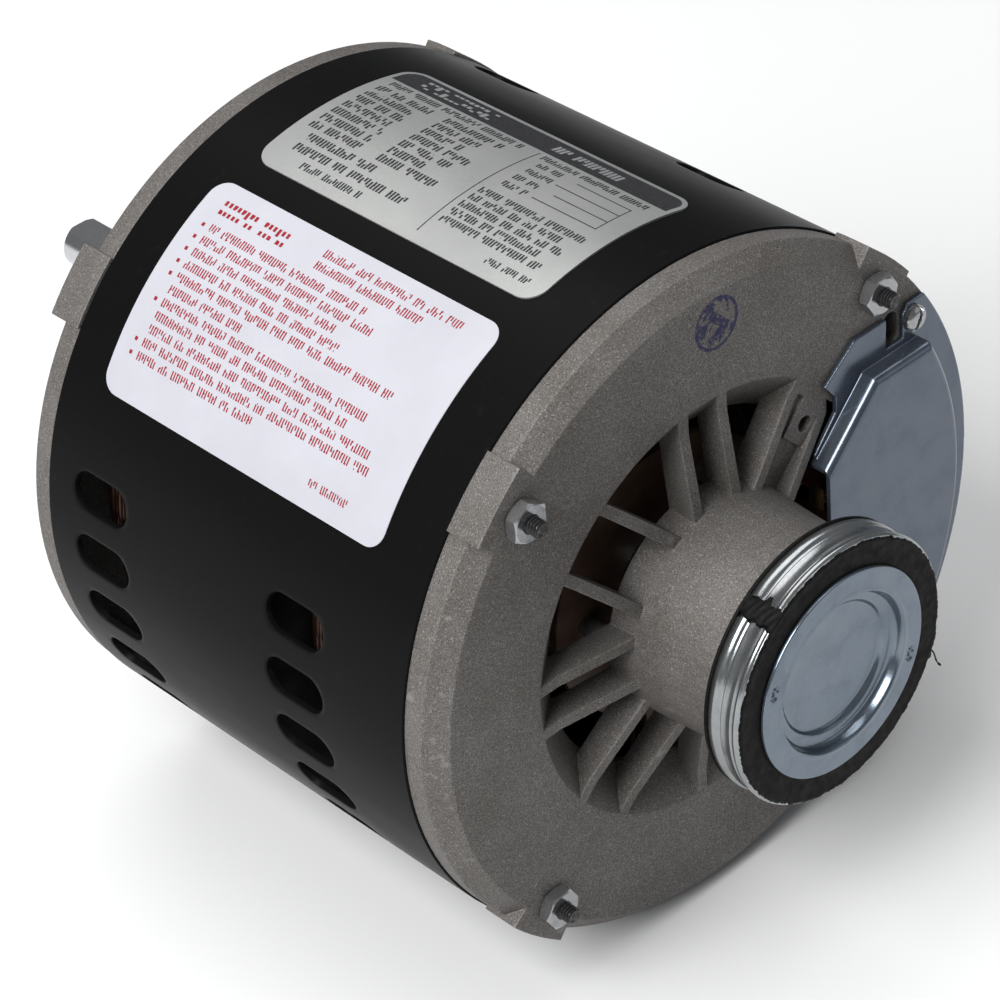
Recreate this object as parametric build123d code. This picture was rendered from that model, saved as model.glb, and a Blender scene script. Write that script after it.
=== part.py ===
"""Open drip-proof fan motor with resilient ring mounts, as an assembly of separate pieces.

Every piece is drawn round a local Z axis that runs along the shaft, from the shaft end
towards the lead end. A "station" is a height along that axis. Station 0 is where the
output shaft leaves the rear hub cap. FRAME then lays the motor down, so that in the row
frame the shaft axis is Y, the output shaft points to +Y and the nameplate is on top, +Z.
Angles are measured in the X-Z plane from +X towards +Z, as seen from the lead end.
"""

import math
import os

from build123d import *

# ---- driving dimensions, mm ---------------------------------------------------------

SHELL_RADIUS = 82.55
SHELL_THICKNESS = 1.5
SHELL_LENGTH = 117.6
MOUNT_DEPTH = 47.8            # from a shell seam out to the face of its hub cap
REAR_SEAM = MOUNT_DEPTH
FRONT_SEAM = REAR_SEAM + SHELL_LENGTH

RIM_RADIUS = 82.1
RIM_BAND = 5.2                # straight part of the rim, out from the seam
FACE_HEIGHT = 9.4             # seam to the flat outer face of an endshield
FACE_RADIUS = 77.9            # where the rim chamfer meets the face
OPENING_RADIUS = 52.0         # of the dished opening, at the face
LIP_RADIUS = 42.7             # of the same opening, at the inner end of the dish
LIP_TOP = 1.8
LIP_BOTTOM = -0.5
PLATE_THICKNESS = 5.0
SPIGOT_DEPTH = 6.0
LUG_RADIUS = 83.2
LUG_HALF_ANGLE = 6.3
REAR_LUG_HALF_ANGLE = 6.0
REAR_LUG_SHIFT = -2.3         # the rear lugs sit a little to one side of their bolts

HUB_FOOT_RADIUS = 27.8
HUB_RADIUS = 27.3
HUB_SHOULDER_RADIUS = 25.8
HUB_SHOULDER = 36.6
NOSE_RADIUS = 22.8
NOSE_HEIGHT = 46.4
HUB_INNER_END = 5.0
HUB_CAVITY_RADIUS = 21.0
HUB_FLOOR = 22.0
HUB_FLOOR_TOP = 26.0
SHAFT_PASSAGE_RADIUS = 12.5

RIB_THICKNESS = 2.8
RIB_TOP = 9.3                 # a rib's outer end, just under the face
RIB_FOOT = 2.6                # underside of a rib where it meets the lip
BOLT_CIRCLE_RADIUS = 75.0
BOLT_ANGLES = (45, 135, 225, 315)
BOLT_RADIUS = 2.08
BOLT_TIP = 15.8               # end of a through bolt above the front seam
NUT_ACROSS_FLATS = 8.73
NUT_HEIGHT = 3.2
NUT_TURN = 15                 # a nut's corner, from the radius through its bolt

RING_RADIUS = 31.75
RING_INNER_RADIUS = 24.0
SPLIT_ANGLE = 127.0

BEARING_OUTER_RADIUS = 20.0
BEARING_BORE_RADIUS = 8.5
BEARING_WIDTH = 12.0
BEARING_INNER_FACE = 28.0     # height of the bearing's inner face above the seam
BALL_RADIUS = 3.375
BALL_PITCH_RADIUS = 14.25
BALL_COUNT = 8

STACK_LOW = 77.0
STACK_HIGH = 120.0
STATOR_BORE = 44.0
SLOT_COUNT = 36
ROTOR_RADIUS = 43.65
ROTOR_BAR_COUNT = 34
ROTOR_BAR_RADIUS = 2.3
ROTOR_BAR_CIRCLE = 40.2

SHAFT_RADIUS = 10.0
OUTPUT_RADIUS = 6.35
OUTPUT_LENGTH = 45.0
FLAT_HEIGHT = 5.05            # shaft axis to the flat of the output shaft
RELIEF_RADIUS = 4.9           # groove that the flat runs out into
RELIEF_END = 1.4
SHAFT_STEP = 5.5              # where the output shaft meets the bearing seat

GOVERNOR_FACE = 135.0
GOVERNOR_SLEEVE_RADIUS = 12.2
GOVERNOR_SLEEVE_TOP = 156.0
PIVOT_RADIUS = 27.0
PIVOT_STATION = 146.0
TOE_REACH = 12.0
COLLAR_BORE_RADIUS = 12.28
COLLAR_TOP = 153.9            # just under the switch arm's prongs

SWITCH_POST_END = -4.4        # height of the posts that carry the switch board
SWITCH_POST_RADIUS = 2.7
SWITCH_BOARD_LOW = FRONT_SEAM + SWITCH_POST_END - 2.0
SWITCH_BOARD_TOP = FRONT_SEAM + SWITCH_POST_END
SWITCH_PIVOT = 38.0
SWITCH_SCREW_CIRCLE = 25.0
SWITCH_SCREW_ANGLES = (60, 180, 300)
SWITCH_ARM_LOW = 154.0
SWITCH_ARM_HIGH = 155.2
SWITCH_AXIS_STATION = 154.6
CONTACT_PLACE = -25.0
CONTACT_SHANK = 1.0
CONTACT_FACE = 156.6          # where the two closed contacts meet

SHEET = 1.2                   # terminal cover's steel
COVER_RAISED = 15.4
COVER_SCREW = (64.2, 41.0)

FRAME = Plane.XZ.location
BOTTOM = (Align.CENTER, Align.CENTER, Align.MIN)


# ---- helpers ------------------------------------------------------------------------

def rod(radius, low, high, x=0.0, y=0.0):
    """A cylinder along the motor's axis, from one station to another."""
    return Pos(x, y, low) * Cylinder(radius, high - low, align=BOTTOM)


def ring(outer, inner, low, high):
    """A plain ring round the motor's axis."""
    return rod(outer, low, high) - rod(inner, low, high)


def turned(points):
    """A solid of revolution from (radius, station) corners."""
    outline = make_face(Polyline(*points, close=True))
    return revolve(Plane.XZ * outline, Axis.Z)


def plate(points, low, high):
    """A flat plate from (x, y) corners."""
    outline = make_face(Polyline(*points, close=True))
    return extrude(Pos(0, 0, low) * outline, amount=high - low)


def block(x, y, z):
    """A box from three (low, high) spans."""
    size = (x[1] - x[0], y[1] - y[0], z[1] - z[0])
    return Pos(x[0], y[0], z[0]) * Box(*size, align=(Align.MIN, Align.MIN, Align.MIN))


def sector(outer, inner, low, high, start, end):
    """A slice of a ring between two angles."""
    corners = ((inner, low), (outer, low), (outer, high), (inner, high))
    outline = Plane.XZ * make_face(Polyline(*corners, close=True))
    return Rot(0, 0, start) * revolve(outline, Axis.Z, revolution_arc=end - start)


def turn(angle):
    """A rotation about the motor's axis."""
    return Rot(0, 0, angle)


def hexagon(across_flats, low, high):
    """A hexagonal nut or head blank with a flat facing +Y."""
    outline = RegularPolygon(across_flats / 2, 6, major_radius=False)
    return extrude(Pos(0, 0, low) * outline, amount=high - low)


def group(pieces):
    """Several separate solids kept as one node."""
    return Compound(children=list(pieces))


def at_bolts(piece):
    """One copy of a piece at each through bolt."""
    return [turn(angle) * Pos(BOLT_CIRCLE_RADIUS, 0, 0) * piece for angle in BOLT_ANGLES]


def to_front(piece):
    """From heights above an endshield's seam to the lead end of the motor."""
    return Pos(0, 0, FRONT_SEAM) * piece


def to_rear(piece):
    """From heights above an endshield's seam to the shaft end of the motor."""
    return Pos(0, 0, REAR_SEAM) * Rot(180, 0, 0) * piece


# ---- shell --------------------------------------------------------------------------

VENT_LENGTH = 18.0
VENT_WIDTH = 9.5
VENT_PITCH = 11.2
VENT_COUNT = 7
VENT_ROWS = (66.1, 131.0)
VENT_GROUPS = (-13.5, 166.5)  # angle of the first vent of each group


def vent(station, angle):
    """A stadium-shaped cutter, long along the axis, at one place on the shell."""
    face = Plane(origin=(SHELL_RADIUS - 6, 0, station), x_dir=(0, 0, 1), z_dir=(1, 0, 0))
    cutter = extrude(face * SlotOverall(VENT_LENGTH, VENT_WIDTH), amount=12)
    return turn(angle) * cutter


def shell():
    body = ring(SHELL_RADIUS, SHELL_RADIUS - SHELL_THICKNESS, REAR_SEAM, FRONT_SEAM)
    for first in VENT_GROUPS:
        for step in range(VENT_COUNT):
            for station in VENT_ROWS:
                body -= vent(station, first + step * VENT_PITCH)
    return body


# ---- endshields ---------------------------------------------------------------------

def rim():
    """Rim, face plate, dished opening and spigot, in heights above the seam."""
    underside = FACE_HEIGHT - PLATE_THICKNESS
    shell_bore = SHELL_RADIUS - SHELL_THICKNESS
    return turned((
        (LIP_RADIUS, LIP_BOTTOM), (LIP_RADIUS, LIP_TOP), (OPENING_RADIUS, FACE_HEIGHT),
        (FACE_RADIUS, FACE_HEIGHT), (RIM_RADIUS, RIM_BAND), (RIM_RADIUS, 0), (shell_bore, 0),
        (shell_bore, -SPIGOT_DEPTH), (shell_bore - 2.8, -SPIGOT_DEPTH),
        (shell_bore - 3.2, underside), (LIP_RADIUS + 7.9, underside),
        (LIP_RADIUS + 1.9, LIP_BOTTOM),
    ))


def hub():
    """Bearing hub, with its nose for the ring mount."""
    return turned((
        (HUB_CAVITY_RADIUS, HUB_INNER_END), (HUB_FOOT_RADIUS, HUB_INNER_END),
        (HUB_RADIUS, FACE_HEIGHT), (HUB_SHOULDER_RADIUS, HUB_SHOULDER),
        (NOSE_RADIUS, HUB_SHOULDER), (NOSE_RADIUS, NOSE_HEIGHT),
        (BEARING_OUTER_RADIUS, NOSE_HEIGHT), (BEARING_OUTER_RADIUS, HUB_FLOOR_TOP),
        (SHAFT_PASSAGE_RADIUS, HUB_FLOOR_TOP), (SHAFT_PASSAGE_RADIUS, HUB_FLOOR),
        (HUB_CAVITY_RADIUS, HUB_FLOOR),
    ))


def rib(angle, offset):
    """One straight web from the hub to the rim, beside the radius at an angle."""
    web = make_face(Polyline(
        (24.5, HUB_INNER_END), (24.5, 12.6), (26.5, 12.4), (46.5, RIB_TOP),
        (OPENING_RADIUS + 2.0, RIB_TOP), (OPENING_RADIUS + 2.0, 4.6), (50.0, 4.6),
        (46.0, RIB_FOOT), close=True,
    ))
    stood = extrude(Plane.XZ * web, amount=RIB_THICKNESS / 2, both=True)
    return turn(angle) * Pos(0, offset, 0) * stood


NARROW_PAIR = 5.8
WIDE_PAIR = 8.2


def rib_pairs(angles):
    webs = []
    for angle in angles:
        offset = WIDE_PAIR if angle % 90 else NARROW_PAIR
        webs += [rib(angle, offset), rib(angle, -offset)]
    return webs


def lugs(half_angle, shift=0.0):
    """Full-height lugs where the through bolts pull on the rim."""
    return [
        sector(LUG_RADIUS, BOLT_CIRCLE_RADIUS - 2, 0, FACE_HEIGHT,
               angle + shift - half_angle, angle + shift + half_angle)
        for angle in BOLT_ANGLES
    ]


def bolt_holes(low, high):
    return [
        turn(angle) * rod(BOLT_RADIUS + 0.2, low, high, x=BOLT_CIRCLE_RADIUS)
        for angle in BOLT_ANGLES
    ]


def lug_relief():
    """Keeps the lugs' inner ends flush with the underside of the plate."""
    return ring(SHELL_RADIUS - SHELL_THICKNESS - 3.2, 60, -1, FACE_HEIGHT - PLATE_THICKNESS)


def rear_endshield():
    body = rim() + lugs(REAR_LUG_HALF_ANGLE, REAR_LUG_SHIFT)
    body -= lug_relief()
    body += hub()
    body += rib_pairs(range(0, 360, 45))
    body -= bolt_holes(-1, FACE_HEIGHT + 1)
    return to_rear(body)


ARM_ANGLE = 45
ARM_LEFT = 8.6
ARM_RIGHT = -4.8
ARM_HOLE = (42.8, -0.4)
ARM_HOLE_RADIUS = 1.95
ARM_UNDERSIDE = 4.4
ARM_FLOOR = 8.4
ARM_PAD_LEFT = 4.4            # a narrow channel runs between the pad and the left rib
TERMINAL_OPENING = 31.0       # half-height of the opening behind the cover
TERMINAL_RADIUS = 70.5
GROUND_SCREW_X = 66.0
BOARD_LOW = 1.0
BOARD_TOP = 3.0
BOARD_SCREW = (50.0, 34.0)


def arm():
    """The arm beside the terminal opening: two ribs, a floor, and a pad with a tapped hole."""
    right = ARM_RIGHT - RIB_THICKNESS / 2
    end = OPENING_RADIUS + 1.5
    floor = block((25, end), (ARM_RIGHT, ARM_LEFT), (ARM_UNDERSIDE, ARM_FLOOR))
    pad = block((38, end), (right, ARM_PAD_LEFT), (ARM_UNDERSIDE, RIB_TOP))
    root = block((48, end), (right, ARM_LEFT), (ARM_UNDERSIDE, RIB_TOP))
    body = rib(0, ARM_LEFT) + rib(0, ARM_RIGHT) + floor + pad + root
    body -= plate(((46.9, right), (49.7, ARM_RIGHT + 1.2), (49.7, right - 1), (46.9, right - 1)),
                  0, FACE_HEIGHT + 3)
    body -= rod(ARM_HOLE_RADIUS, 0, FACE_HEIGHT + 3, *ARM_HOLE)
    return turn(ARM_ANGLE) * body


def terminal_window():
    """The opening under the terminal cover."""
    window = rod(TERMINAL_RADIUS, -1, FACE_HEIGHT + 1)
    return window & block((35, 80), (-TERMINAL_OPENING, TERMINAL_OPENING), (-1, FACE_HEIGHT + 1))


def keyhole():
    """The oblong hole beside the cover's top edge."""
    slot = Pos(58.4, 40.2, -1) * Rot(0, 0, 90) * SlotOverall(8.6, 5.0)
    return extrude(slot, amount=FACE_HEIGHT + 2)


def front_endshield():
    underside = FACE_HEIGHT - PLATE_THICKNESS
    body = rim() + lugs(LUG_HALF_ANGLE)
    body += sector(RIM_RADIUS, BOLT_CIRCLE_RADIUS, 0, FACE_HEIGHT, -40, 40)
    body -= lug_relief()
    body -= terminal_window()
    body += hub()
    body += rib_pairs((90, 135, 180, 225, 270))
    body += [rib(-ARM_ANGLE, -ARM_LEFT), rib(-ARM_ANGLE, -ARM_RIGHT)]
    body += arm()
    body += [turn(angle) * rod(SWITCH_POST_RADIUS, SWITCH_POST_END, HUB_INNER_END + 1,
                               x=SWITCH_SCREW_CIRCLE) for angle in SWITCH_SCREW_ANGLES]
    body += block((63, 72), (-6, 6), (underside, 8.0))
    body += [rod(3.4, BOARD_TOP, underside + 0.5, BOARD_SCREW[0], side * (BOARD_SCREW[1] + 0.8))
             for side in (-1, 1)]
    body += turn(-142.5) * block((53.5, 73.8), (-0.2, 0.2), (FACE_HEIGHT - 0.5, FACE_HEIGHT + 0.2))
    body -= keyhole()
    body -= bolt_holes(-1, FACE_HEIGHT + 1)
    body -= [rod(1.6, 2, FACE_HEIGHT + 1, COVER_SCREW[0], side * COVER_SCREW[1])
             for side in (-1, 1)]
    body -= [rod(1.5, 0, 7.4, BOARD_SCREW[0], side * (BOARD_SCREW[1] + 0.8)) for side in (-1, 1)]
    body -= rod(1.9, 0, FACE_HEIGHT, GROUND_SCREW_X)
    body -= [turn(angle) * rod(1.2, SWITCH_POST_END - 1, 4, x=SWITCH_SCREW_CIRCLE)
             for angle in SWITCH_SCREW_ANGLES]
    return to_front(body)


# ---- terminal cover -----------------------------------------------------------------

def mirrored(points):
    """An outline given by its upper half, closed by the same half below."""
    return list(points) + [(x, -y) for x, y in reversed(points)]


def cover_outline(upper, radius):
    """A face with straight edges from the upper half's points and a round outer edge."""
    points = mirrored(upper)
    straight = Polyline(*(points[len(upper):] + points[:len(upper)]))
    arc = ThreePointArc(upper[-1], (radius, 0), (upper[-1][0], -upper[-1][1]))
    return make_face([straight, arc])


RAISED_RADIUS = 74.8
RAISED_UPPER = ((31.5, 19.0), (47.6, 35.0), (66.1, 35.0))
FLANGE_UPPER = (
    (31.5, 18.6), (33.2, 18.6), (32.1, 20.8), (39.2, 28.8), (39.2, 32.6), (36.0, 37.0),
    (45.8, 44.4), (55.9, 44.4), (55.9, 36.8), (61.3, 36.8), (61.3, 42.6), (63.0, 45.0), (68.5, 45.0),
)
FLANGE_RADIUS = 81.95


def terminal_cover():
    base = FACE_HEIGHT
    raised = cover_outline(RAISED_UPPER, RAISED_RADIUS)
    outer = extrude(Pos(0, 0, base) * raised, amount=COVER_RAISED - base)
    rounded = [edge for edge in outer.edges().group_by(Axis.Z)[-1]
               if edge.center().X > RAISED_UPPER[0][0] + 1]
    outer = fillet(rounded, 1.9)
    inner_face = offset(raised, amount=-SHEET, kind=Kind.INTERSECTION)
    inner = extrude(Pos(0, 0, base - 1) * inner_face, amount=COVER_RAISED - SHEET - base + 1)
    inner += block((30, 34), (-18.0, 18.0), (base - 1, COVER_RAISED - SHEET))
    flange = extrude(Pos(0, 0, base) * cover_outline(FLANGE_UPPER, FLANGE_RADIUS), amount=SHEET)
    body = outer + flange - inner
    body -= [rod(1.95, base - 1, base + 3, COVER_SCREW[0], side * COVER_SCREW[1])
             for side in (-1, 1)]
    return to_front(body)


def cover_screw():
    """Slotted pan-head screw, in heights above the seam."""
    seat = FACE_HEIGHT + SHEET
    head = turned(((0, seat), (3.1, seat), (3.1, seat + 0.8), (2.5, seat + 2.0), (0, seat + 2.5)))
    slot = Rot(0, 0, 62) * block((-4, 4), (-0.45, 0.45), (seat + 1.3, seat + 3))
    return head + rod(1.6, 2.2, seat) - slot


def cover_screws():
    x, y = COVER_SCREW
    return group(to_front(Pos(x, side * y, 0) * cover_screw()) for side in (-1, 1))


# ---- through bolts ------------------------------------------------------------------

THREAD_PITCH = 0.794


def threaded_tip(low, high):
    """Rings of thread, one per pitch, on the end of a through bolt."""
    crest, root = BOLT_RADIUS, BOLT_RADIUS - 0.42
    points = [(0, low), (root, low)]
    station = low
    while station + THREAD_PITCH <= high - 0.5:
        points += [(crest, station + THREAD_PITCH / 2), (root, station + THREAD_PITCH)]
        station += THREAD_PITCH
    points += [(root - 0.3, high), (0, high)]
    return turned(points)


def through_bolt():
    """A long bolt, head against the rear face and threaded tip past the front nut."""
    rear_face = REAR_SEAM - FACE_HEIGHT
    nut_top = FRONT_SEAM + FACE_HEIGHT + NUT_HEIGHT
    head = turned(((0, rear_face - 2.5), (3.3, rear_face - 2.3), (4.3, rear_face - 1.4),
                   (4.3, rear_face), (0, rear_face)))
    head -= block((-5, 5), (-0.5, 0.5), (rear_face - 3, rear_face - 1.3))
    shank = rod(BOLT_RADIUS, rear_face, nut_top - 0.2)
    return head + shank + threaded_tip(nut_top - 0.2, FRONT_SEAM + BOLT_TIP)


def through_bolts():
    return group(at_bolts(through_bolt()))


def through_bolt_nuts():
    low = FRONT_SEAM + FACE_HEIGHT
    high = low + NUT_HEIGHT
    flat = NUT_ACROSS_FLATS / 2
    cone = turned((
        (0, low), (flat + 0.3, low), (flat + 0.75, low + 0.4), (flat + 0.75, high - 0.6), (flat - 0.2, high),
        (0, high),
    ))
    nut = (hexagon(NUT_ACROSS_FLATS, low, high) & cone) - rod(BOLT_RADIUS, low - 1, high + 1)
    return group(at_bolts(Rot(0, 0, NUT_TURN) * nut))


# ---- ring mounts and hub caps -------------------------------------------------------

def mount_sleeve():
    return ring(RING_INNER_RADIUS, NOSE_RADIUS, HUB_SHOULDER, NOSE_HEIGHT)


def band_profile():
    """Outer band: two beads with a wide flat between them."""
    inner, bead, flat, groove = RING_RADIUS - 1.05, RING_RADIUS, RING_RADIUS - 0.08, RING_RADIUS - 0.6
    return turned((
        (inner, 37.6), (bead - 0.2, 37.6), (bead, 37.9), (bead, 40.6), (groove, 40.8), (groove, 41.0),
        (flat, 41.2), (flat, 44.1), (groove, 44.3), (groove, 44.5), (bead, 44.8), (bead, 46.2),
        (bead - 0.3, 46.5), (inner, 46.5),
    ))


def mount_band():
    """Split steel band with a ragged gap where its ends meet."""
    gap = sector(RING_RADIUS + 1, 28, 30, 50, SPLIT_ANGLE - 4.2, SPLIT_ANGLE + 4.4)
    tab = sector(RING_RADIUS - 0.1, RING_RADIUS - 1.05, 41.6, 43.6, SPLIT_ANGLE + 2.6, SPLIT_ANGLE + 4.6)
    return band_profile() - gap + tab


def mount_rubber():
    """Rubber ring between sleeve and band, with a lip behind the band and a swelling in its gap."""
    lip = RING_RADIUS - 0.05
    body = turned((
        (RING_INNER_RADIUS, HUB_SHOULDER), (lip - 0.3, HUB_SHOULDER), (lip, HUB_SHOULDER + 0.3),
        (lip, 37.6), (RING_RADIUS - 1.05, 37.6), (RING_RADIUS - 1.05, 46.5), (30.2, 46.8),
        (RING_INNER_RADIUS, 46.8),
    ))
    return body + sector(lip, 28, 37.0, 46.6, SPLIT_ANGLE - 3.9, SPLIT_ANGLE + 2.2)


CAP_RADIUS = 24.8
CUP_RADIUS = 19.2


def hub_cap(shaft_hole):
    """Pressed steel cap: a flange over the sleeve and a stepped cup in the bearing bore."""
    top = MOUNT_DEPTH
    body = turned((
        (0, 43.6), (CUP_RADIUS - 2.0, 43.6), (CUP_RADIUS - 2.0, 44.4), (BEARING_OUTER_RADIUS, 44.4),
        (BEARING_OUTER_RADIUS, 46.8), (CAP_RADIUS, 46.8), (CAP_RADIUS, top - 0.3), (CAP_RADIUS - 0.3, top),
        (CUP_RADIUS, top), (CUP_RADIUS - 0.5, 46.1), (CUP_RADIUS - 3.5, 45.7),
        (CUP_RADIUS - 4.8, 44.7), (0, 44.7),
    ))
    dimples = [turn(angle) * Pos(22.3, 0, top + 0.4) * Sphere(0.9) for angle in (158, 162.4, 338, 342.4)]
    body -= dimples
    if shaft_hole:
        body -= rod(OUTPUT_RADIUS + 1.0, 40, 50)
    return body


# ---- bearings -----------------------------------------------------------------------

RACE_CLEARANCE = 0.04


def bearing_groove(low):
    """The ball track, cut from both rings."""
    middle = low + BEARING_WIDTH / 2
    track = Pos(BALL_PITCH_RADIUS, middle) * Circle(BALL_RADIUS + RACE_CLEARANCE)
    return revolve(Plane.XZ * track, Axis.Z)


def bearing_outer(low):
    high = low + BEARING_WIDTH
    return ring(BEARING_OUTER_RADIUS, 16.6, low, high) - bearing_groove(low)


def bearing_inner(low):
    high = low + BEARING_WIDTH
    return ring(12.0, BEARING_BORE_RADIUS, low, high) - bearing_groove(low)


def bearing_cage(low):
    """Balls and the ribbon that spaces them, one solid."""
    middle = low + BEARING_WIDTH / 2
    body = ring(15.4, 13.1, middle - 1.1, middle + 1.1)
    for step in range(BALL_COUNT):
        body += turn(step * 360 / BALL_COUNT) * Pos(BALL_PITCH_RADIUS, 0, middle) * Sphere(BALL_RADIUS)
    return body


def bearing_shields(low):
    """Two thin rings that close the bearing, held in the outer ring."""
    high = low + BEARING_WIDTH
    return group((ring(16.6, 12.3, low + 0.5, low + 0.9), ring(16.6, 12.3, high - 0.9, high - 0.5)))


FRONT_BEARING = FRONT_SEAM + BEARING_INNER_FACE
REAR_BEARING = REAR_SEAM - BEARING_INNER_FACE - BEARING_WIDTH


def wave_spring():
    """Wave washer between the hub floor and the front bearing, drawn as its flat ring."""
    low = FRONT_SEAM + HUB_FLOOR_TOP
    return ring(19.2, 14.5, low + 0.5, low + 1.5)


# ---- stator -------------------------------------------------------------------------

SLOT_MOUTH_RADIUS = 46.4
SLOT_BOTTOM_RADIUS = 62.0
SLOT_INNER_HALF = 1.9
SLOT_OUTER_HALF = 3.1
LINER = 0.3


def slot_half_width(radius):
    """Half the slot's width at a radius, between parallel teeth."""
    share = (radius - SLOT_MOUTH_RADIUS) / (SLOT_BOTTOM_RADIUS - SLOT_MOUTH_RADIUS)
    return SLOT_INNER_HALF + share * (SLOT_OUTER_HALF - SLOT_INNER_HALF)


def slot_span(inner, outer, margin, low, high):
    """A length of slot filling between two radii, kept a margin off the slot's sides."""
    near, far = slot_half_width(inner) - margin, slot_half_width(outer) - margin
    return plate(((inner, -near), (outer, -far), (outer, far), (inner, near)), low, high)


def round_slots(piece):
    """One copy of a piece at each stator slot."""
    return [turn(step * 360 / SLOT_COUNT) * piece for step in range(SLOT_COUNT)]


def stator_core():
    low, high = STACK_LOW - 1, STACK_HIGH + 1
    slot = slot_span(SLOT_MOUTH_RADIUS, SLOT_BOTTOM_RADIUS, 0, low, high)
    slot += block((STATOR_BORE - 1, SLOT_MOUTH_RADIUS + 0.2), (-1.2, 1.2), (low, high))
    body = ring(SHELL_RADIUS - SHELL_THICKNESS, STATOR_BORE, STACK_LOW, STACK_HIGH)
    body -= round_slots(slot)
    body -= [turn(angle) * rod(BOLT_RADIUS + 0.3, low, high, x=BOLT_CIRCLE_RADIUS)
             for angle in BOLT_ANGLES]
    return body


LINER_LOW = STACK_LOW - 2.5
LINER_HIGH = STACK_HIGH + 2.5
COIL_LOW = STACK_LOW - 3.0
COIL_HIGH = STACK_HIGH + 3.0
COIL_INNER = 50.0
COIL_OUTER = 71.6
COIL_REACH = 146.0            # top of the lead-end coil ends


def slot_liners():
    """Paper-thin insulating troughs, one to a slot."""
    outer = slot_span(SLOT_MOUTH_RADIUS + 0.1, SLOT_BOTTOM_RADIUS, 0, LINER_LOW, LINER_HIGH)
    inner = slot_span(SLOT_MOUTH_RADIUS - 1, SLOT_BOTTOM_RADIUS - LINER, LINER,
                      LINER_LOW - 1, LINER_HIGH + 1)
    return group(round_slots(outer - inner))


def end_turns(inner, outer, reach):
    """A bundle of coil ends above the stack's lead end, rounded at its top."""
    corner = 0.25 * (outer - inner)
    return turned((
        (inner, COIL_HIGH), (outer - 0.3 * corner, COIL_HIGH), (outer, COIL_HIGH + 3),
        (outer, reach - corner), (outer - 0.4 * corner, reach - 0.3 * corner), (outer - corner, reach),
        (inner + 0.4 * corner, reach), (inner, reach - 0.4 * corner),
    ))


def flipped(piece):
    """The same piece mirrored to the other end of the stack."""
    middle = (STACK_LOW + STACK_HIGH) / 2
    return mirror(piece, about=Plane.XY.offset(middle))


def main_winding():
    bars = round_slots(slot_span(54.0, SLOT_BOTTOM_RADIUS - LINER, LINER + 0.02, COIL_LOW, COIL_HIGH))
    bundle = end_turns(COIL_INNER, COIL_OUTER, COIL_REACH)
    return bundle + flipped(bundle) + bars


def start_winding():
    bars = round_slots(slot_span(47.0, 53.6, LINER + 0.02, COIL_LOW, COIL_HIGH))
    bundle = end_turns(COIL_INNER - 3.8, COIL_INNER - 0.4, COIL_REACH - 3.0)
    return bundle + flipped(bundle) + bars


LACING_COUNT = 24


def winding_lacing():
    """Tie cord loops over the lead-end coil bundle."""
    outer, top = COIL_OUTER, COIL_REACH
    corner = 0.25 * (COIL_OUTER - COIL_INNER)
    loop = turned((
        (COIL_INNER + 3, top), (outer - corner, top), (outer - 0.4 * corner, top - 0.3 * corner),
        (outer, top - corner), (outer, 130), (outer + 0.5, 130), (outer + 0.5, top - corner),
        (outer - 0.3 * corner, top - 0.2 * corner), (outer - corner, top + 0.5), (COIL_INNER + 3, top + 0.5),
    ))
    slices = [turn(step * 360 / LACING_COUNT) * block((40, 80), (-0.7, 0.7), (125, 150))
              for step in range(LACING_COUNT)]
    return group(loop & piece for piece in slices)


# ---- rotor --------------------------------------------------------------------------

def rotor_bars():
    return [turn(step * 360 / ROTOR_BAR_COUNT) * rod(ROTOR_BAR_RADIUS, STACK_LOW, STACK_HIGH,
                                                      x=ROTOR_BAR_CIRCLE)
            for step in range(ROTOR_BAR_COUNT)]


def rotor_core():
    return ring(ROTOR_RADIUS, SHAFT_RADIUS, STACK_LOW, STACK_HIGH) - rotor_bars()


FAN_BLADES = 11


def rotor_cage():
    """Cast aluminium cage: bars, an end ring at each end, and cooling blades on the rings."""
    end = ring(43.2, 31.0, STACK_HIGH, STACK_HIGH + 6)
    for step in range(FAN_BLADES):
        blade = block((32.5, 42.6), (-1.1, 1.1), (STACK_HIGH + 5.5, STACK_HIGH + 13))
        end += turn(step * 360 / FAN_BLADES) * blade
    return end + flipped(end) + rotor_bars()


def shaft():
    top = FRONT_BEARING + BEARING_WIDTH
    bearing_top = REAR_BEARING + BEARING_WIDTH
    body = turned((
        (0, -OUTPUT_LENGTH), (OUTPUT_RADIUS - 0.9, -OUTPUT_LENGTH), (OUTPUT_RADIUS, 0.9 - OUTPUT_LENGTH),
        (OUTPUT_RADIUS, 0), (RELIEF_RADIUS, 0), (RELIEF_RADIUS, RELIEF_END), (OUTPUT_RADIUS, RELIEF_END),
        (OUTPUT_RADIUS, SHAFT_STEP - 0.5), (BEARING_BORE_RADIUS, SHAFT_STEP),
        (BEARING_BORE_RADIUS, bearing_top), (SHAFT_RADIUS, bearing_top), (SHAFT_RADIUS, FRONT_BEARING),
        (BEARING_BORE_RADIUS, FRONT_BEARING), (BEARING_BORE_RADIUS, top),
        (BEARING_BORE_RADIUS - 0.6, top + 0.6), (0, top + 0.6),
    ))
    flat = block((-10, 10), (FLAT_HEIGHT, 10), (-OUTPUT_LENGTH - 1, 0))
    return body - flat


def shaft_slinger():
    """Dished rubber washer on the shaft behind the rear cap, which throws water off."""
    return turned((
        (BEARING_BORE_RADIUS, SHAFT_STEP + 0.1), (11.5, SHAFT_STEP + 0.1), (15.5, SHAFT_STEP - 0.7),
        (15.5, SHAFT_STEP), (11.5, SHAFT_STEP + 1.4), (BEARING_BORE_RADIUS, SHAFT_STEP + 1.4),
    ))


# ---- centrifugal governor -----------------------------------------------------------

EAR_INNER = 8.0
EAR_OUTER = 9.5
PIN_RADIUS = 1.25


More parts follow.
